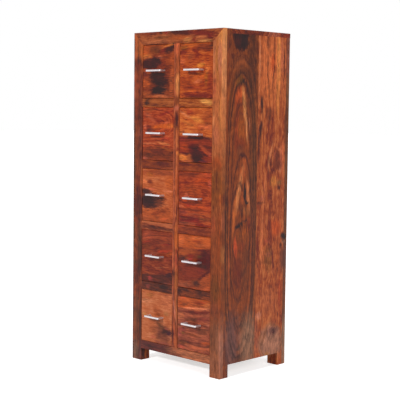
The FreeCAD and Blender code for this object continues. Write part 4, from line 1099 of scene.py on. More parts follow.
            Mark((317, 760), (6, 9), (66, 30, 28), 0.9),
            Mark((202, 258), (9, 30), (64, 40, 30), 0.95, pull=5),
            Mark((240, 292), (17, 30), (128, 62, 42), 0.7, pull=8),
            Mark((198, 344), (10, 28), (74, 34, 26), 0.95, pull=6),
            Mark((187, 402), (6, 46), (76, 38, 32), 0.85), Mark((205, 408), (6, 60), (186, 98, 52), 0.7),
            Mark((286, 450), (22, 42), (122, 55, 39), 0.85, 0, 0.35, 0.5, pull=16),
            Mark((256, 448), (4, 34), (112, 48, 32), 0.8, 3),
            Mark((272, 434), (3, 14), (190, 95, 70), 0.75, 12),
            Mark((304, 485), (9, 3), (190, 114, 80), 0.85, -40),
            Mark((243, 462), (4, 30), (204, 116, 74), 0.85),
            Mark((251, 430), (5, 46), (222, 130, 82), 0.88, 14),
            Mark((296, 412), (16, 4), (210, 116, 74), 0.7, 30),
            Mark((266, 488), (9, 12), (104, 42, 28), 0.85), Mark((320, 450), (6, 70), (198, 98, 60), 0.75),
            Mark((270, 526), (19, 17), (196, 114, 58), 0.88, 0, 0.4, 0.5, pull=8),
            Mark((300, 530), (14, 9), (136, 88, 54), 0.8), Mark((300, 550), (6, 7), (66, 38, 30), 0.9),
            Mark((190, 600), (15, 4), (92, 46, 38), 0.9, 6),
            Mark((214, 602), (13, 3.5), (108, 54, 30), 0.85, -4),
            Mark((222, 560), (5, 60), (206, 112, 72), 0.6, 4),
            *(Mark((256 + 5 * (n % 2), 560 + 14 * n), (8, 3.5), (106, 42, 26), 0.85) for n in range(5)),
            Mark((208, 585), (7, 9), (204, 108, 78), 0.8), Mark((250, 642), (32, 12), (138, 60, 36), 0.75),
            Mark((286, 694), (32, 28), (192, 80, 44), 0.75),
            Mark((212, 736), (8, 100), (206, 110, 68), 0.85, 2),
            Mark((190, 756), (6, 56), (104, 42, 26), 0.85, pull=4),
            Mark((177, 720), (2.5, 60), (206, 118, 84), 0.75),
            Mark((246, 742), (18, 3.5), (204, 92, 64), 0.8, 24),
            Mark((248, 800), (20, 44), (132, 76, 43), 0.8, 0, 0.5),
            Mark((248, 784), (18, 9), (160, 84, 60), 0.7, pull=8),
            Mark((246, 816), (28, 9), (120, 64, 32), 0.85, 8),
            Mark((274, 816), (5, 46), (112, 44, 24), 0.88, -6),
            Mark((300, 800), (9, 60), (174, 84, 46), 0.6), Mark((188, 870), (6, 60), (178, 92, 56), 0.7),
            Mark((278, 916), (56, 6), (140, 62, 38), 0.7, 38),
            Mark((276, 990), (58, 5), (142, 68, 44), 0.7, 30),
            Mark((248, 960), (50, 44), (178, 94, 60), 0.6, soft=0.7),
            Mark((314, 930), (9, 70), (162, 66, 42), 0.7),
            Mark((199, 1008), (15, 14), (200, 122, 92), 0.8),
            Mark((190, 1080), (12, 60), (168, 90, 66), 0.7),
            # The next mark, a pale greyish patch near the foot of the panel, is partly the wood's colour
            # and partly painted reflection of the pale floor.
            Mark((268, 1112), (66, 60), (170, 117, 94), 0.85, soft=0.3, ragged=0.4),
            Mark((272, 1104), (60, 56), (120, 78, 52), 0.8, rim=2.6, soft=0.6, ragged=0.3),
            Mark((234, 1084), (8, 34), (126, 74, 50), 0.7, 30),
            Mark((282, 1070), (27, 13), (118, 70, 62), 0.85),
            Mark((282, 1074), (7, 7), (76, 36, 38), 0.95, pull=7),
            Mark((250, 1146), (12, 6), (176, 112, 56), 0.7))),
    "rear_face": Figure(
        (76, 46, 34), (118, 70, 46), (150, 92, 62), seed=33, pith=(30, 30), ring=6, wander=6, contrast=0.7,
        marks=(
            Mark((9, 80), (18, 100), (150, 84, 66), 0.85, 0, 0.5),
            Mark((9, 210), (14, 60), (134, 86, 56), 0.7), Mark((2, 310), (4, 120), (108, 54, 38), 0.8),
            Mark((-2, 726), (15, 12), (44, 30, 20), 0.95, 10, 0.4, 0.3, pull=5),
            Mark((1, 746), (13, 5), (142, 97, 78), 0.88, 0, 0.4, 0.3),
            Mark((10, 800), (14, 46), (108, 66, 58), 0.8), Mark((10, 900), (12, 90), (122, 68, 50), 0.6),
            Mark((9, 1130), (20, 90), (156, 112, 88), 0.85, 0, 0.5))),
    "top": Figure(
        (88, 38, 30), (142, 62, 40), (196, 102, 58), seed=34, pith=(150, 12), ring=9, bow=0.5, bow_at=210,
        wander=12, contrast=0.9, marks=(
            Mark((222, 130), (600, 100), (100, 44, 34), 0.6, soft=0.25),
            Mark((222, 262), (600, 34), (190, 104, 78), 0.6, soft=0.2),
            Mark((222, 330), (600, 40), (124, 46, 34), 0.7, soft=0.2),
            Mark((120, 120), (44, 24), (60, 34, 30), 0.85, pull=9))),
    "top_inner": Figure(
        (80, 38, 30), (140, 66, 42), (190, 100, 60), seed=35, pith=(40, 30), ring=7, wander=7),
    "left_front": Figure(
        (92, 40, 30), (156, 72, 44), (204, 110, 62), seed=36, pith=(110, 10), ring=9, bow=0.12, bow_at=480,
        wander=11, marks=(
            Mark((84, 300), (22, 34), (66, 38, 34), 0.9, pull=11),
            Mark((120, 760), (40, 150), (112, 52, 38), 0.6, soft=0.6))),
    "left_rear": Figure(
        (74, 38, 32), (128, 60, 42), (176, 90, 54), seed=37, pith=(262, 12), ring=8, bow=0.16, bow_at=800,
        wander=10, marks=(
            Mark((260, 640), (20, 40), (54, 34, 30), 0.9, pull=10),
            Mark((230, 200), (30, 180), (186, 98, 58), 0.6, soft=0.6))),
}


def rail_figure(seed: float, dark: Paint, mid: Paint, light: Paint, *marks: Mark) -> Figure:
    """Figure of a short rail: narrow, nearly straight bands."""
    return Figure(dark, mid, light, seed=seed, pith=(52, 34), ring=5.5, tilt=0.05, wander=5,
                  contrast=0.75, marks=marks)


RAIL_FIGURES: dict[str, Figure] = {
    "left_1": rail_figure(
        41, (98, 47, 30), (154, 80, 46), (182, 100, 58), Mark((36, 14), (12, 11), (70, 44, 32), 0.85)),
    "right_1": rail_figure(
        42, (98, 46, 28), (154, 76, 42), (194, 110, 60),
        Mark((140, 12), (28, 8), (230, 156, 84), 0.85, turn=6)),
    "left_2": rail_figure(
        43, (84, 40, 28), (134, 62, 39), (164, 82, 50), Mark((120, 12), (34, 8), (84, 40, 34), 0.8)),
    "right_2": rail_figure(
        44, (82, 38, 28), (132, 61, 37), (164, 79, 46), Mark((40, 8), (44, 5), (110, 44, 34), 0.7)),
    "left_3": rail_figure(
        45, (108, 50, 37), (168, 86, 56), (190, 104, 68), Mark((80, 24), (100, 6), (92, 46, 38), 0.85)),
    "right_3": rail_figure(
        46, (80, 36, 29), (132, 60, 41), (164, 80, 52), Mark((20, 6), (24, 5), (170, 74, 48), 0.6)),
    "left_4": rail_figure(
        47, (62, 37, 33), (96, 51, 41), (126, 64, 48), Mark((44, 18), (11, 7), (158, 74, 62), 0.75),
        Mark((130, 10), (36, 8), (54, 34, 32), 0.8)),
    "right_4": rail_figure(
        48, (62, 35, 30), (108, 55, 41), (148, 72, 46), Mark((70, 22), (60, 26), (56, 34, 32), 0.8, rim=4),
        Mark((24, 18), (16, 8), (60, 36, 34), 0.8)),
}
INNER_FIGURE = Figure(
    (150, 106, 68), (186, 142, 98), (206, 166, 120), seed=51, pith=(-40, 60),
    ring=7, wander=6, contrast=0.45, veins=0.1, blotch=0.4)
RUNNER_FIGURE = replace(INNER_FIGURE, seed=52, pith=(20, 90), ring=5)


# ---- Meshes --------------------------------------------
def in_scene(name: str, data: bpy.types.ID) -> bpy.types.Object:
    """Put a new object into the scene.

    Args:
        name: Its name.
        data: Its mesh, lamp or camera.

    Returns:
        The object.
    """
    placed = bpy.data.objects.new(name, data)
    bpy.context.scene.collection.objects.link(placed)
    return placed


def grid_faces(rows: int, columns: int, first: int = 0) -> np.ndarray:
    """Quads of a grid of points whose columns close into a ring.

    Args:
        rows: Rings of points.
        columns: Points in each ring.
        first: Number of the first point.

    Returns:
        An array of point numbers, four to a face.
    """
    row, column = np.meshgrid(np.arange(rows - 1), np.arange(columns), indexing="ij")
    following = (column + 1) % columns
    corners = (row * columns + column, row * columns + following,
               (row + 1) * columns + following, (row + 1) * columns + column)
    return np.stack(corners, axis=-1).reshape(-1, 4) + first


def new_piece(name: str, points: np.ndarray, faces: list[list[int]], body: str,
              material: bpy.types.Material, crease: float = 40.0) -> bpy.types.Object:
    """Make a piece from points in millimetres, smooth apart from its sharp edges.

    Args:
        name: The piece's name.
        points: One row for each point.
        faces: Point numbers of each face.
        body: The body that it rides on.
        material: Its material.
        crease: Degrees from which an edge stays sharp.

    Returns:
        The piece.
    """
    mesh = bpy.data.meshes.new(name)
    mesh.from_pydata((points / METRE).tolist(), [], faces)
    mesh.polygons.foreach_set("use_smooth", np.ones(len(mesh.polygons), bool))
    mesh.set_sharp_from_angle(angle=math.radians(crease))
    mesh.materials.append(material)
    piece = in_scene(name, mesh)
    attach(piece, body)
    LOG.info("%s: %d points, rides on %s", name, len(points), body)
    return piece


def face_centres(mesh: bpy.types.Mesh) -> np.ndarray:
    """Work out where a solid's triangles are.

    Args:
        mesh: The solid's mesh.

    Returns:
        The middle of each triangle, in millimetres.
    """
    points = np.empty(len(mesh.vertices) * 3, np.float32)
    mesh.vertices.foreach_get("co", points)
    corners = np.empty(len(mesh.loops), np.int32)
    mesh.loops.foreach_get("vertex_index", corners)
    return points.reshape(-1, 3)[corners.reshape(-1, 3)].mean(axis=1) * METRE


def dress(node: bpy.types.Object, materials: list[bpy.types.Material],
          choice: np.ndarray | None = None) -> None:
    """Give a solid its materials.

    Args:
        node: The solid's object.
        materials: Its materials.
        choice: For each triangle the place of its material; all take the first without it.
    """
    node.data.materials.clear()
    for material in materials:
        node.data.materials.append(material)
    if choice is None:
        choice = np.zeros(len(node.data.polygons), np.int32)
    node.data.polygons.foreach_set("material_index", choice.astype(np.int32))
    node.data.update()
    LOG.info("%s: %s", node.name, ", ".join(material.name for material in materials))


def dress_in_order(node: bpy.types.Object, boards: list[bpy.types.Material], axis: int,
                   joints: list[float]) -> None:
    """Dress a solid of several boards that follow each other along an axis.

    Args:
        node: The solid's object.
        boards: The boards' materials in order.
        axis: 0 for X, 1 for Y or 2 for Z.
        joints: Where each board but the last ends, in millimetres.
    """
    dress(node, boards, np.searchsorted(joints, face_centres(node.data)[:, axis]))


# ---- Steel and plywood ---------------------------------
@dataclass(frozen=True)
class Steel:
    """A metal finish: brushed along X, with faint smudges."""

    name: str
    colour: Colour
    worn: Colour
    roughness: float
    brushing: float
    smudging: float = 0.14
    streak_size: tuple[float, float] = (9.0, 0.16)
    smudge_size: tuple[float, float] = (14.0, 7.0)
    relief: float = 0.012

    def material(self) -> bpy.types.Material:
        """Build the material: fine streaks along X and broad smudges change its roughness.

        Returns:
            The material.
        """
        graph = Graph(bpy.data.materials.new(self.name))
        x, y, z = graph.position()
        long, wide = self.streak_size
        streak = graph.noise(graph.vector(x / long, y / wide, z / wide), 2.0, 0.6).centred()
        long, wide = self.smudge_size
        smudge = graph.noise(graph.vector(x / long, y / wide, z / wide), 2.0, 0.5).centred()
        colour = graph.blend(graph.step(smudge + streak * 0.5, -0.3, 0.35), self.colour, self.worn)
        roughness = streak * self.brushing + smudge * self.smudging + self.roughness
        return graph.surface(colour, roughness, streak + 0.5, self.relief, Metallic=1.0)


BRUSHED = Steel("brushed_steel", (0.66, 0.625, 0.64), (0.54, 0.505, 0.515), 0.48, 0.26)
PLATED = Steel("plated_steel", (0.66, 0.64, 0.60), (0.50, 0.48, 0.44), 0.34, 0.16)


@dataclass(frozen=True)
class Plywood:
    """Stained plywood: wide rotary-cut figure on its faces and plies on its edges."""

    name: str
    side: Side
    dark: Paint
    light: Paint
    plies: int = 3
    swirl_size: tuple[float, float] = (80.0, 420.0)
    swirl_lines: float = 22.0
    fibre_size: tuple[float, float] = (0.9, 26.0)
    roughness: float = 0.62
    specular: float = 0.25
    relief: float = 0.12

    def material(self, origin: Place, thickness: float) -> bpy.types.Material:
        """Build the sheet's material; its figure is the contour lines of a long, slow noise.

        Args:
            origin: The corner at which its figure starts, in millimetres.
            thickness: The sheet's, in millimetres.

        Returns:
            The material.
        """
        graph = Graph(bpy.data.materials.new(self.name))
        u, v, w = Board(self.name, INNER_FIGURE, origin, self.side, Grain.UPRIGHT).axes(graph)
        wide, long = self.swirl_size
        swirl = graph.noise(graph.vector(u / wide, v / long, 3.0), 1.0, 0.4)
        contour = graph.ripple(swirl * self.swirl_lines, 2.0, 0.6).centred()
        wide, long = self.fibre_size
        fibre = graph.noise(graph.vector(u / wide, v / long, w / wide), 2.0, 0.6).centred()
        layer = graph.math("FLOOR", w * (self.plies / thickness))
        odd = abs(graph.math("MODULO", layer, 2.0))
        value = contour * 1.3 + fibre * 0.9 - odd * 0.35 + 0.62
        colour = graph.ramp(value, {0.15: tone(self.dark), 0.8: tone(self.light)})
        return graph.surface(colour, fibre * 0.2 + self.roughness, fibre + 0.5, self.relief,
                             Specular_IOR_Level=self.specular)


BACK_PLYWOOD = Plywood("back_plywood", Side.BACK, (100, 56, 38), (152, 96, 64))
DRAWER_PLYWOOD = Plywood("drawer_plywood", Side.TOP, (150, 104, 66), (196, 150, 104))


# ---- Sub-assemblies ------------------------------------
@dataclass(frozen=True)
class Screw:
    """Pan-head screw with a cross recess; only its head is made, on the surface it holds.

    The rim's points are distances from the middle and heights, as shares of the radius and the
    height.  The crown's two shares are its edge and the small ring round its middle.  Turns are
    in radians, the crease is in degrees.
    """

    radius: float
    height: float
    rim: tuple[tuple[float, float], ...] = ((1.0, 0.0), (1.0, 0.45), (0.985, 0.62), (0.93, 0.76))
    crown: tuple[float, float] = (0.84, 0.03)
    dome: float = 0.2
    recess: float = 0.55
    arm: float = 0.17
    arm_slope: float = 0.06
    reach: float = 0.62
    reach_slope: float = 0.10
    rings: int = 12
    spokes: int = 48
    first_turn: float = 0.35
    next_turn: float = 0.9
    crease: float = 35.0

    def points(self, turn: float) -> np.ndarray:
        """Points of the head, seen from its top, with its foot at height 0.

        Height falls from the middle to the rim as a flat dome, and drops at the rim.  Inside the
        recess it is lowered by a share that fades outwards, where the distance to either arm of
        the cross is less than the arm's half width.

        Args:
            turn: How far the cross is turned, in radians.

        Returns:
            An array of rings, points and coordinates; the first ring is the rim's foot.
        """
        rim = np.array(self.rim)
        crown = np.linspace(*self.crown, self.rings)
        out = np.concatenate((rim[:, 0], crown))
        rise = np.concatenate((rim[:, 1], 1 - self.dome + self.dome * (1 - crown ** 2)))
        angle = np.linspace(0.0, 2 * math.pi, self.spokes, endpoint=False)
        x = out[:, None] * np.cos(angle)
        y = out[:, None] * np.sin(angle)
        turned_x = x * math.cos(turn) + y * math.sin(turn)
        turned_y = y * math.cos(turn) - x * math.sin(turn)
        nearest = np.minimum(abs(turned_x), abs(turned_y))
        cross = np.clip((self.arm - nearest) / self.arm_slope + 0.5, 0.0, 1.0)
        inside = np.clip((self.reach - out[:, None]) / self.reach_slope, 0.0, 1.0)
        level = rise[:, None] - self.recess * cross * inside
        return np.stack((x * self.radius, y * self.radius, level * self.height), axis=2)

    def group(self, name: str, places: np.ndarray, body: str,
              material: bpy.types.Material) -> bpy.types.Object:
        """Make a group of heads, each turned its own way, on a face that looks to the back.

        Args:
            name: The piece's name.
            places: Middle of each head on the face, in millimetres.
            body: The body that they ride on.
            material: Their finish.

        Returns:
            The piece.
        """
        points, faces = [], []
        for number, place in enumerate(places):
            head = self.points(self.first_turn + self.next_turn * number)
            rows, columns = head.shape[:2]
            first = number * rows * columns
            placed = np.stack((-head[..., 0], head[..., 2], head[..., 1]), axis=2)
            points.append((placed + place).reshape(-1, 3))
            top = first + (rows - 1) * columns
            faces += grid_faces(rows, columns, first).tolist()
            faces += [list(range(first, first + columns))[::-1], list(range(top, top + columns))]
        return new_piece(name, np.concatenate(points), faces, body, material,
                         self.crease)


@dataclass(frozen=True)
class Case:
    """Posts, rails, panels, divider, runners and back: all that stands still.

    The posts and the top rail are glued from two boards, the outer one as thick as face_board.
    A side panel's two boards meet at panel_joint behind the case's front; faces in the joint
    itself, which don't show, count as the rear board's.
    """

    nodes: dict[str, bpy.types.Object]
    left: float
    right: float
    front: float
    back: float
    top: float
    face_board: float = 18.0
    panel_joint: float = 181.0
    joint_margin: float = 0.01
    screw: Screw = Screw(radius=3.5, height=1.8)
    screw_rows: int = 6
    screw_columns: int = 3
    screw_inset: float = 6.0

    @classmethod
    def from_frame(cls, nodes: dict[str, bpy.types.Object]) -> "Case":
        """Read the case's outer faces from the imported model.

        Args:
            nodes: The solids' objects by name.

        Returns:
            The case.
        """
        return cls(nodes, extent("side_panel_left")[0].x, extent("side_panel_right")[1].x,
                   extent("front_post_left")[0].y, extent("rear_post_left")[1].y,
                   extent("top_rail")[1].z)

    def board(self, name: str, figure: str, side: Side, grain: Grain) -> bpy.types.Material:
        """Material of a board whose figure starts at a top corner of the case.

        Args:
            name: The material's name.
            figure: The figure's name.
            side: The side that shows it.
            grain: Which way its fibres run.

        Returns:
            The material.
        """
        across = self.right if side in (Side.RIGHT, Side.BACK) else self.left
        start = Place(across, self.back if side is Side.BACK else self.front, self.top)
        return Board(name, FRAME_FIGURES[figure], start, side, grain).material()

    def at_node(self, node: str, name: str, figure: Figure, side: Side, grain: Grain,
                coat: Coat = LACQUER) -> bpy.types.Material:
        """Material of a board whose figure starts at its own node's upper left front.

        Args:
            node: The solid that it is part of.
            name: The material's name.
            figure: Its figure.
            side: The side that shows it.
            grain: Which way its fibres run.
            coat: Its finish.

        Returns:
            The material.
        """
        low, high = extent(node)
        start = Place(low.x, low.y, high.z)
        return Board(name, figure, start, side, grain, coat).material()

    def dress_frame(self) -> None:
        """Dress the posts, the long rails, the stile and the side panels."""
        glue = self.front + self.face_board
        panels = {"right": (Side.RIGHT, "panel_front", "panel_rear"),
                  "left": (Side.LEFT, "left_front", "left_rear")}
        for side, (view, front_board, rear_board) in panels.items():
            post = f"front_post_{side}"
            face = self.at_node(post, f"{post}_face", FRAME_FIGURES[f"post_{side}"], Side.FRONT,
                                Grain.UPRIGHT)
            inner = self.board(f"side_{side}_front", front_board, view, Grain.UPRIGHT)
            dress_in_order(self.nodes[post], [face, inner], 1, [glue])
            rear = self.board(f"side_{side}_rear", rear_board, view, Grain.UPRIGHT)
            self.dress_side(side, view, inner, rear)
        rail = [self.board(f"top_rail_{part}", figure, Side.FRONT, Grain.LEVEL)
                for part, figure in (("face", "top_rail"), ("inner", "top_inner"))]
        dress_in_order(self.nodes["top_rail"], rail, 1, [glue])
        for node, figure, grain in (("bottom_rail", "bottom_rail", Grain.LEVEL),
                                    ("centre_stile", "stile", Grain.UPRIGHT)):
            dress(self.nodes[node],
                  [self.at_node(node, node, FRAME_FIGURES[figure], Side.FRONT, grain)])

    def dress_side(self, side: str, view: Side, front_board: bpy.types.Material,
                   rear_board: bpy.types.Material) -> None:
        """Dress a side panel and the rear post that its rear board's wood runs on to.

        Args:
            side: "left" or "right".
            view: The side that shows them.
            front_board: Material of the panel's front board.
            rear_board: Material of its rear board.
        """
        joint = self.front + self.panel_joint - self.joint_margin
        dress_in_order(self.nodes[f"side_panel_{side}"], [front_board, rear_board], 1, [joint])
        face = FRAME_FIGURES["rear_face"]
        face = replace(face, seed=face.seed + HANDS[side])
        glue = self.back - self.face_board
        start = Place(self.right if side == "right" else self.left, glue, self.top)
        strip = Board(f"rear_post_{side}_face", face, start, view, Grain.UPRIGHT).material()
        dress_in_order(self.nodes[f"rear_post_{side}"], [rear_board, strip], 1, [glue])

    def dress_rails(self) -> None:
        """Dress the short rails, each of its own wood."""
        for side in HANDS:
            low = extent(f"drawer_rails_{side}")[0]
            materials, heights = [], []
            for row in ROWS[:-1]:
                heights.append(extent(f"drawer_front_{side}_{row}")[0].z)
                rail = Board(f"rail_{side}_{row}", RAIL_FIGURES[f"{side}_{row}"],
                             Place(low.x, low.y, heights[-1]), Side.FRONT, Grain.LEVEL)
                materials.append(rail.material())
            dress_in_order(self.nodes[f"drawer_rails_{side}"], materials[::-1], 2,
                           sorted(heights)[:-1])

    def dress_inside(self) -> None:
        """Dress the top, the bottom, the divider, the runners, the rear rails and the back.

        The splines of the mitres are of the rear rails' wood.
        """
        dress(self.nodes["top_board"], [self.board("top_board", "top", Side.TOP, Grain.LEVEL)])
        groups = (("divider_wood", INNER_FIGURE, Side.RIGHT, Grain.UPRIGHT, ("centre_divider",)),
                  ("runner_wood", RUNNER_FIGURE, Side.RIGHT, Grain.LEVEL,
                   ("drawer_runners_left", "drawer_runners_right")),
                  ("rear_rail_wood", RUNNER_FIGURE, Side.BACK, Grain.LEVEL,
                   ("rear_rails", "bottom_board", "mitre_splines")))
        for name, figure, side, grain, members in groups:
            wood = self.at_node(members[0], name, figure, side, grain, SANDED)
            for member in members:
                dress(self.nodes[member], [wood])
        low, high = extent("back_panel")
        dress(self.nodes["back_panel"], [BACK_PLYWOOD.material(high, high.y - low.y)])

    def back_screws(self, finish: bpy.types.Material) -> None:
        """Make the heads of the screws that hold the back to the posts, rails and divider.

        Args:
            finish: Their material.
        """
        low, high = extent("back_panel")
        lowest, highest = (corner.z for corner in extent("rear_rails"))
        inset = self.screw_inset
        across = np.linspace(low.x + inset, high.x - inset, self.screw_columns)
        up = np.linspace(lowest + 2 * inset, highest - 2 * inset, self.screw_rows)
        places = np.stack(np.meshgrid(across, [high.y], up), axis=-1).reshape(-1, 3)
        self.screw.group("back_panel_screws", places, "carcass", finish)
        LOG.info("carcass has %d screws in its back", len(places))

    def build(self, screw_finish: bpy.types.Material) -> None:
        """Dress all that stands still and make the screws in its back.

        Args:
            screw_finish: The screws' material.
        """
        self.dress_frame()
        self.dress_rails()
        self.dress_inside()
        self.back_screws(screw_finish)


@dataclass(frozen=True)
class Pull:
    """U-shaped bar pull: a flat-sided bar between two legs, rounded at the outer corners."""

    leg: float = 10.0
    bar: float = 6.0
    outer_round: float = 3.0
    inner_round: float = 1.4
    edge: float = 0.7
    leg_steps: int = 4
    corner_steps: int = 9
    bar_steps: int = 5
    edge_steps: int = 5

    def rail(self, half: float, reach: float, radius: float) -> np.ndarray:
        """One side of the bar in plan, as points from foot to foot.

        Its first half is a straight leg, a round corner of the given radius and half of the
        straight bar; the second is its mirror image.

        Args:
            half: Half the distance between the two legs' faces.
            reach: Distance of the bar's face from the drawer.
            radius: Radius of the corner.

        Returns:
            An array of x and y, with y negative towards the front.
        """
        angle = np.linspace(0.0, math.pi / 2, self.corner_steps)
        corner = np.stack((half - radius + radius * np.cos(angle),
                           -(reach - radius + radius * np.sin(angle))), axis=1)
        outwards = np.linspace(0.0, reach - radius, self.leg_steps + 1)[:-1]
        leg = np.stack((np.full(self.leg_steps, half), -outwards), axis=1)
        inwards = np.linspace(half - radius, 0.0, self.bar_steps + 1)[1:]
        bar = np.stack((inwards, np.full(self.bar_steps, -reach)), axis=1)
        first = np.concatenate((leg, corner, bar))
        second = first[-2::-1] * (-1.0, 1.0)
        return np.concatenate((first, second))

    def points(self, low: Place, high: Place) -> np.ndarray:
        """Points of the whole pull, one ring round the bar for each point of its plan.

        A ring is a rectangle with rounded edges.  It spans from the inner rail to the outer rail
        across the bar and the pull's height up and down: its point is the middle, plus half the
        span times the ring's first coordinate, plus half the height times its second.

        Args:
            low: The pull's lowest corner.
            high: Its highest corner.

        Returns:
            An array of rings, points and coordinates.
        """
        half = (high.x - low.x) / 2
        reach = high.y - low.y
        outer = self.rail(half, reach, self.outer_round)
        inner = self.rail(half - self.leg, reach - self.bar, self.inner_round)
        middle = (outer + inner) / 2
        span = (outer - inner) / 2
        length = np.linalg.norm(span, axis=1, keepdims=True)
        tall = (high.z - low.z) / 2
        angle = np.linspace(0.0, math.pi / 2, self.edge_steps)
        start = np.arange(4).repeat(self.edge_steps) * (math.pi / 2)
        turn = start + np.tile(angle, 4)
        corner = start + math.pi / 4
        sign = np.stack((np.sign(np.cos(corner)), np.sign(np.sin(corner))))
        arc = np.stack((np.cos(turn), np.sin(turn)))
        across = sign[0] * (1 - self.edge / length) + arc[0] * self.edge / length
        upwards = sign[1] * (tall - self.edge) + arc[1] * self.edge
        plan = middle[:, None, :] + span[:, None, :] * across[:, :, None]
        heights = np.broadcast_to(upwards, plan.shape[:2])[:, :, None]
        centre = ((low.x + high.x) / 2, high.y, (low.z + high.z) / 2)
        return np.concatenate((plan, heights), axis=2) + centre

    def build(self, node: str, body: str, material: bpy.types.Material) -> bpy.types.Object:
        """Make the pull in its solid's place.

        Args:
            node: The solid that it stands for.
            body: The drawer that it rides on.
            material: Its finish.

        Returns:
            The piece.
        """
        rings = self.points(*extent(node))
        rows, columns = rings.shape[:2]
        faces = grid_faces(rows, columns)[:, ::-1].tolist()
        last = (rows - 1) * columns
        faces += [list(range(columns)), list(range(last, last + columns))[::-1]]
        piece = new_piece(f"bar_pull_{body}", rings.reshape(-1, 3), faces, body,
                          material)
        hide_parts(node)
        return piece


@dataclass(frozen=True)
class Dovetails:
    """Through tails at the rear of a drawer's sides."""

    count: int = 4
    side_height: float = 176.0
    side_thickness: float = 11.0
    back_thickness: float = 10.0
    width: float = 28.0
    slope: float = 6.0
    front_length: float = 100.0
    rounding: float = 0.01

    def boards(self, centres: np.ndarray, low: Place, high: Place) -> np.ndarray:
        """Tell which triangles of a drawer's box are its back's.

        A tail is as wide as its wide end less the distance from the rear, divided by its slope,
        on each side of its middle; in the corners all between the tails is the back's.  Between
        the sides all is the back's but what lies within the front length of the box.

        Args:
            centres: Middle of each triangle.
            low: The box's lowest corner.
            high: Its highest corner.

        Returns:
            1 for a triangle of the back and 0 for one of a side.
        """
        pitch = self.side_height / self.count
        x, y, z = centres.T
        from_tail = (z - low.z) % pitch - pitch / 2
        half_width = self.width / 2 - (high.y - y) / self.slope
        in_tail = abs(from_tail) < half_width
        in_side = np.minimum(x - low.x, high.x - x) < self.side_thickness
        at_rear = y > high.y - self.back_thickness - self.rounding
        return np.where(in_side, at_rear & ~in_tail, y > low.y + self.front_length)


@dataclass(frozen=True)
class Drawer:
    """One drawer: its front, box, bottom, pull and screws."""

    nodes: dict[str, bpy.types.Object]
    side: str
    row: int
    gap: float = 1.2
    leg_centres: float = 64.0
    front_thickness: float = 18.0
    screw: Screw = Screw(radius=4.0, height=2.4)

    @staticmethod
    def finishes() -> dict[str, bpy.types.Material]:
        """Make the materials that all drawers share.

        Returns:
            The materials by what they are for.
        """
        low, high = extent("drawer_box_left_1")
        start = Place(low.x, low.y, high.z)
        bottom_low, bottom_high = extent("drawer_bottom_left_1")
        side = Board("drawer_side_wood", INNER_FIGURE, start, Side.RIGHT, Grain.LEVEL, SANDED)
        back = Board("drawer_back_wood", RUNNER_FIGURE, start, Side.FRONT, Grain.LEVEL, SANDED)
        bottom = DRAWER_PLYWOOD.material(bottom_high, round(bottom_high.z - bottom_low.z))
        return {"side": side.material(), "back": back.material(), "bottom": bottom,
                "pull": BRUSHED.material(), "screw": PLATED.material()}

    def build(self, finishes: dict[str, bpy.types.Material]) -> None:
        """Dress the drawer's solids, and make its pull and the two screws behind it.

        Args:
            finishes: The materials that all drawers share, by what they are for.
        """
        mark = f"{self.side}_{self.row}"
        body = f"drawer_{mark}"
        low, high = extent(f"drawer_front_{mark}")
        origin = Place(low.x - self.gap, low.y, high.z + self.gap)
        face = Board(f"drawer_front_{mark}", DRAWER_FIGURES[mark], origin, Side.FRONT, Grain.LEVEL)
        dress(self.nodes[f"drawer_front_{mark}"], [face.material()])
        box = self.nodes[f"drawer_box_{mark}"]
        dress(box, [finishes["side"], finishes["back"]],
              Dovetails().boards(face_centres(box.data), *extent(box.name)))
        dress(self.nodes[f"drawer_bottom_{mark}"], [finishes["bottom"]])
        pull = Pull().build(f"drawer_handle_{mark}", body, finishes["pull"])
        middle = np.mean(extent(f"drawer_handle_{mark}"), axis=0)
        middle[1] = low.y + self.front_thickness
        half = self.leg_centres / 2
        places = middle + np.array(((-half, 0, 0), (half, 0, 0)))
        self.screw.group(f"pull_screws_{body}", places, body, finishes["screw"])
        LOG.info("%s is dressed, with %s", body, pull.name)


# ---- Floor, light and camera ---------------------------
@dataclass(frozen=True)
class Lamp:
    """A distant lamp, placed by where its light comes from."""

    name: str
    azimuth: float
    elevation: float
    strength: float
    spread: float

    def build(self) -> None:
        """Make the lamp; azimuth 0 shines on the front, 90 on the right side."""
        lamp = bpy.data.lights.new(self.name, "SUN")
        lamp.energy = self.strength
        lamp.angle = math.radians(self.spread)
        turn = (math.radians(90 - self.elevation), 0.0, math.radians(self.azimuth))
        in_scene(self.name, lamp).rotation_euler = turn


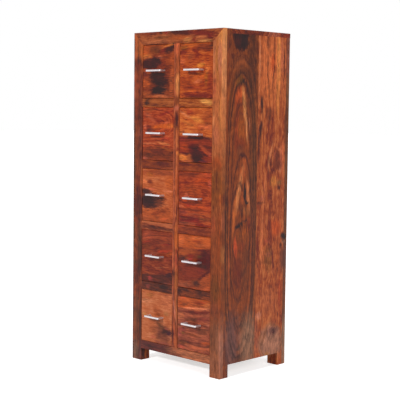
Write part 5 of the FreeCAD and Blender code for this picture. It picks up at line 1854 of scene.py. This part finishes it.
@dataclass(frozen=True)
class Studio:
    """Pale floor, white surroundings, three lamps and the camera."""

    floor_size: float = 60.0
    floor_colour: Colour = (0.72, 0.72, 0.725)
    floor_roughness: float = 0.9
    floor_glow: float = 0.60
    surround: float = 0.22
    lamps: tuple[Lamp, ...] = (Lamp("key", 3.0, 29.0, 2.42, 6.0),
                               Lamp("right_fill", 80.0, 26.0, 1.75, 34.0),
                               Lamp("rear_fill", 225.0, 24.0, 1.6, 50.0))
    camera_place: tuple[float, float, float] = (2674.7, -2786.8, 928.6)
    yaw: float = -44.212
    pitch: float = 4.910
    roll: float = 0.631
    focal_widths: float = 2.6562
    sensor_width: float = 36.0

    def seen_directly(self, graph: Graph) -> Term:
        """One for a ray from the camera, a mirror or glass, and zero for light on the object.

        Args:
            graph: The graph that asks.

        Returns:
            One or zero.
        """
        path = graph.node("LightPath")
        rays = [graph.term(path, f"Is {kind} Ray") for kind in ("Camera", "Glossy", "Transmission")]
        return graph.math("MINIMUM", rays[0] + rays[1] + rays[2], 1.0)

    def floor(self) -> None:
        """Make the floor: a plain pale sheet that looks white where nothing shades it."""
        half = self.floor_size / 2
        mesh = bpy.data.meshes.new("floor")
        corners = [(-half, -half, 0.0), (half, -half, 0.0), (half, half, 0.0), (-half, half, 0.0)]
        mesh.from_pydata(corners, [], [(0, 1, 2, 3)])
        graph = Graph(bpy.data.materials.new("floor"))
        paint = graph.node("BsdfPrincipled", {
            "Base Color": self.floor_colour, "Roughness": self.floor_roughness,
            "Specular IOR Level": 0.0})
        glow = graph.node("Emission", {"Strength": self.seen_directly(graph) * self.floor_glow})
        both = graph.node("AddShader", {0: graph.term(paint), 1: graph.term(glow)})
        graph.node("OutputMaterial", {0: graph.term(both)})
        mesh.materials.append(graph.owner)
        in_scene("floor", mesh)

    def surroundings(self) -> None:
        """Light the scene evenly from all round, and show plain white behind it."""
        world = bpy.data.worlds.new("surroundings")
        bpy.context.scene.world = world
        graph = Graph(world)
        level = self.seen_directly(graph) * (1.0 - self.surround) + self.surround
        white = graph.node("Background", {"Color": (1.0, 1.0, 1.0), "Strength": level})
        graph.node("OutputWorld", {0: graph.term(white)})

    def camera(self) -> None:
        """Place the camera by its yaw, downward pitch and roll, with X right and Y up."""
        yaw, pitch, roll = (math.radians(angle) for angle in (self.yaw, self.pitch, self.roll))
        forward = np.array((math.sin(yaw) * math.cos(pitch), math.cos(yaw) * math.cos(pitch),
                            -math.sin(pitch)))
        right = np.array((math.cos(yaw), -math.sin(yaw), 0.0))
        upwards = np.cross(right, forward)
        placed = np.eye(4)
        placed[:3, 0] = right * math.cos(roll) + upwards * math.sin(roll)
        placed[:3, 1] = upwards * math.cos(roll) - right * math.sin(roll)
        placed[:3, 2] = -forward
        placed[:3, 3] = np.array(self.camera_place) / METRE
        camera = bpy.data.cameras.new("camera")
        camera.sensor_width = self.sensor_width
        camera.lens = self.focal_widths * self.sensor_width
        piece = in_scene("camera", camera)
        piece.matrix_world = Matrix(placed.tolist())
        bpy.context.scene.camera = piece

    def build(self) -> None:
        """Make floor, surroundings, lamps and camera."""
        self.floor()
        self.surroundings()
        for lamp in self.lamps:
            lamp.build()
        self.camera()
        bpy.context.scene.view_settings.view_transform = "Standard"
        LOG.info("studio with %d lamps", len(self.lamps))


def main() -> None:
    """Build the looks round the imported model."""
    logging.basicConfig(level=logging.INFO, format="%(name)s: %(message)s")
    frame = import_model()
    nodes = frame["nodes"]
    Studio().build()
    finishes = Drawer.finishes()
    Case.from_frame(nodes).build(finishes["screw"])
    for side in HANDS:
        for row in ROWS:
            Drawer(nodes, side, row).build(finishes)


if __name__ == "__main__":
    main()
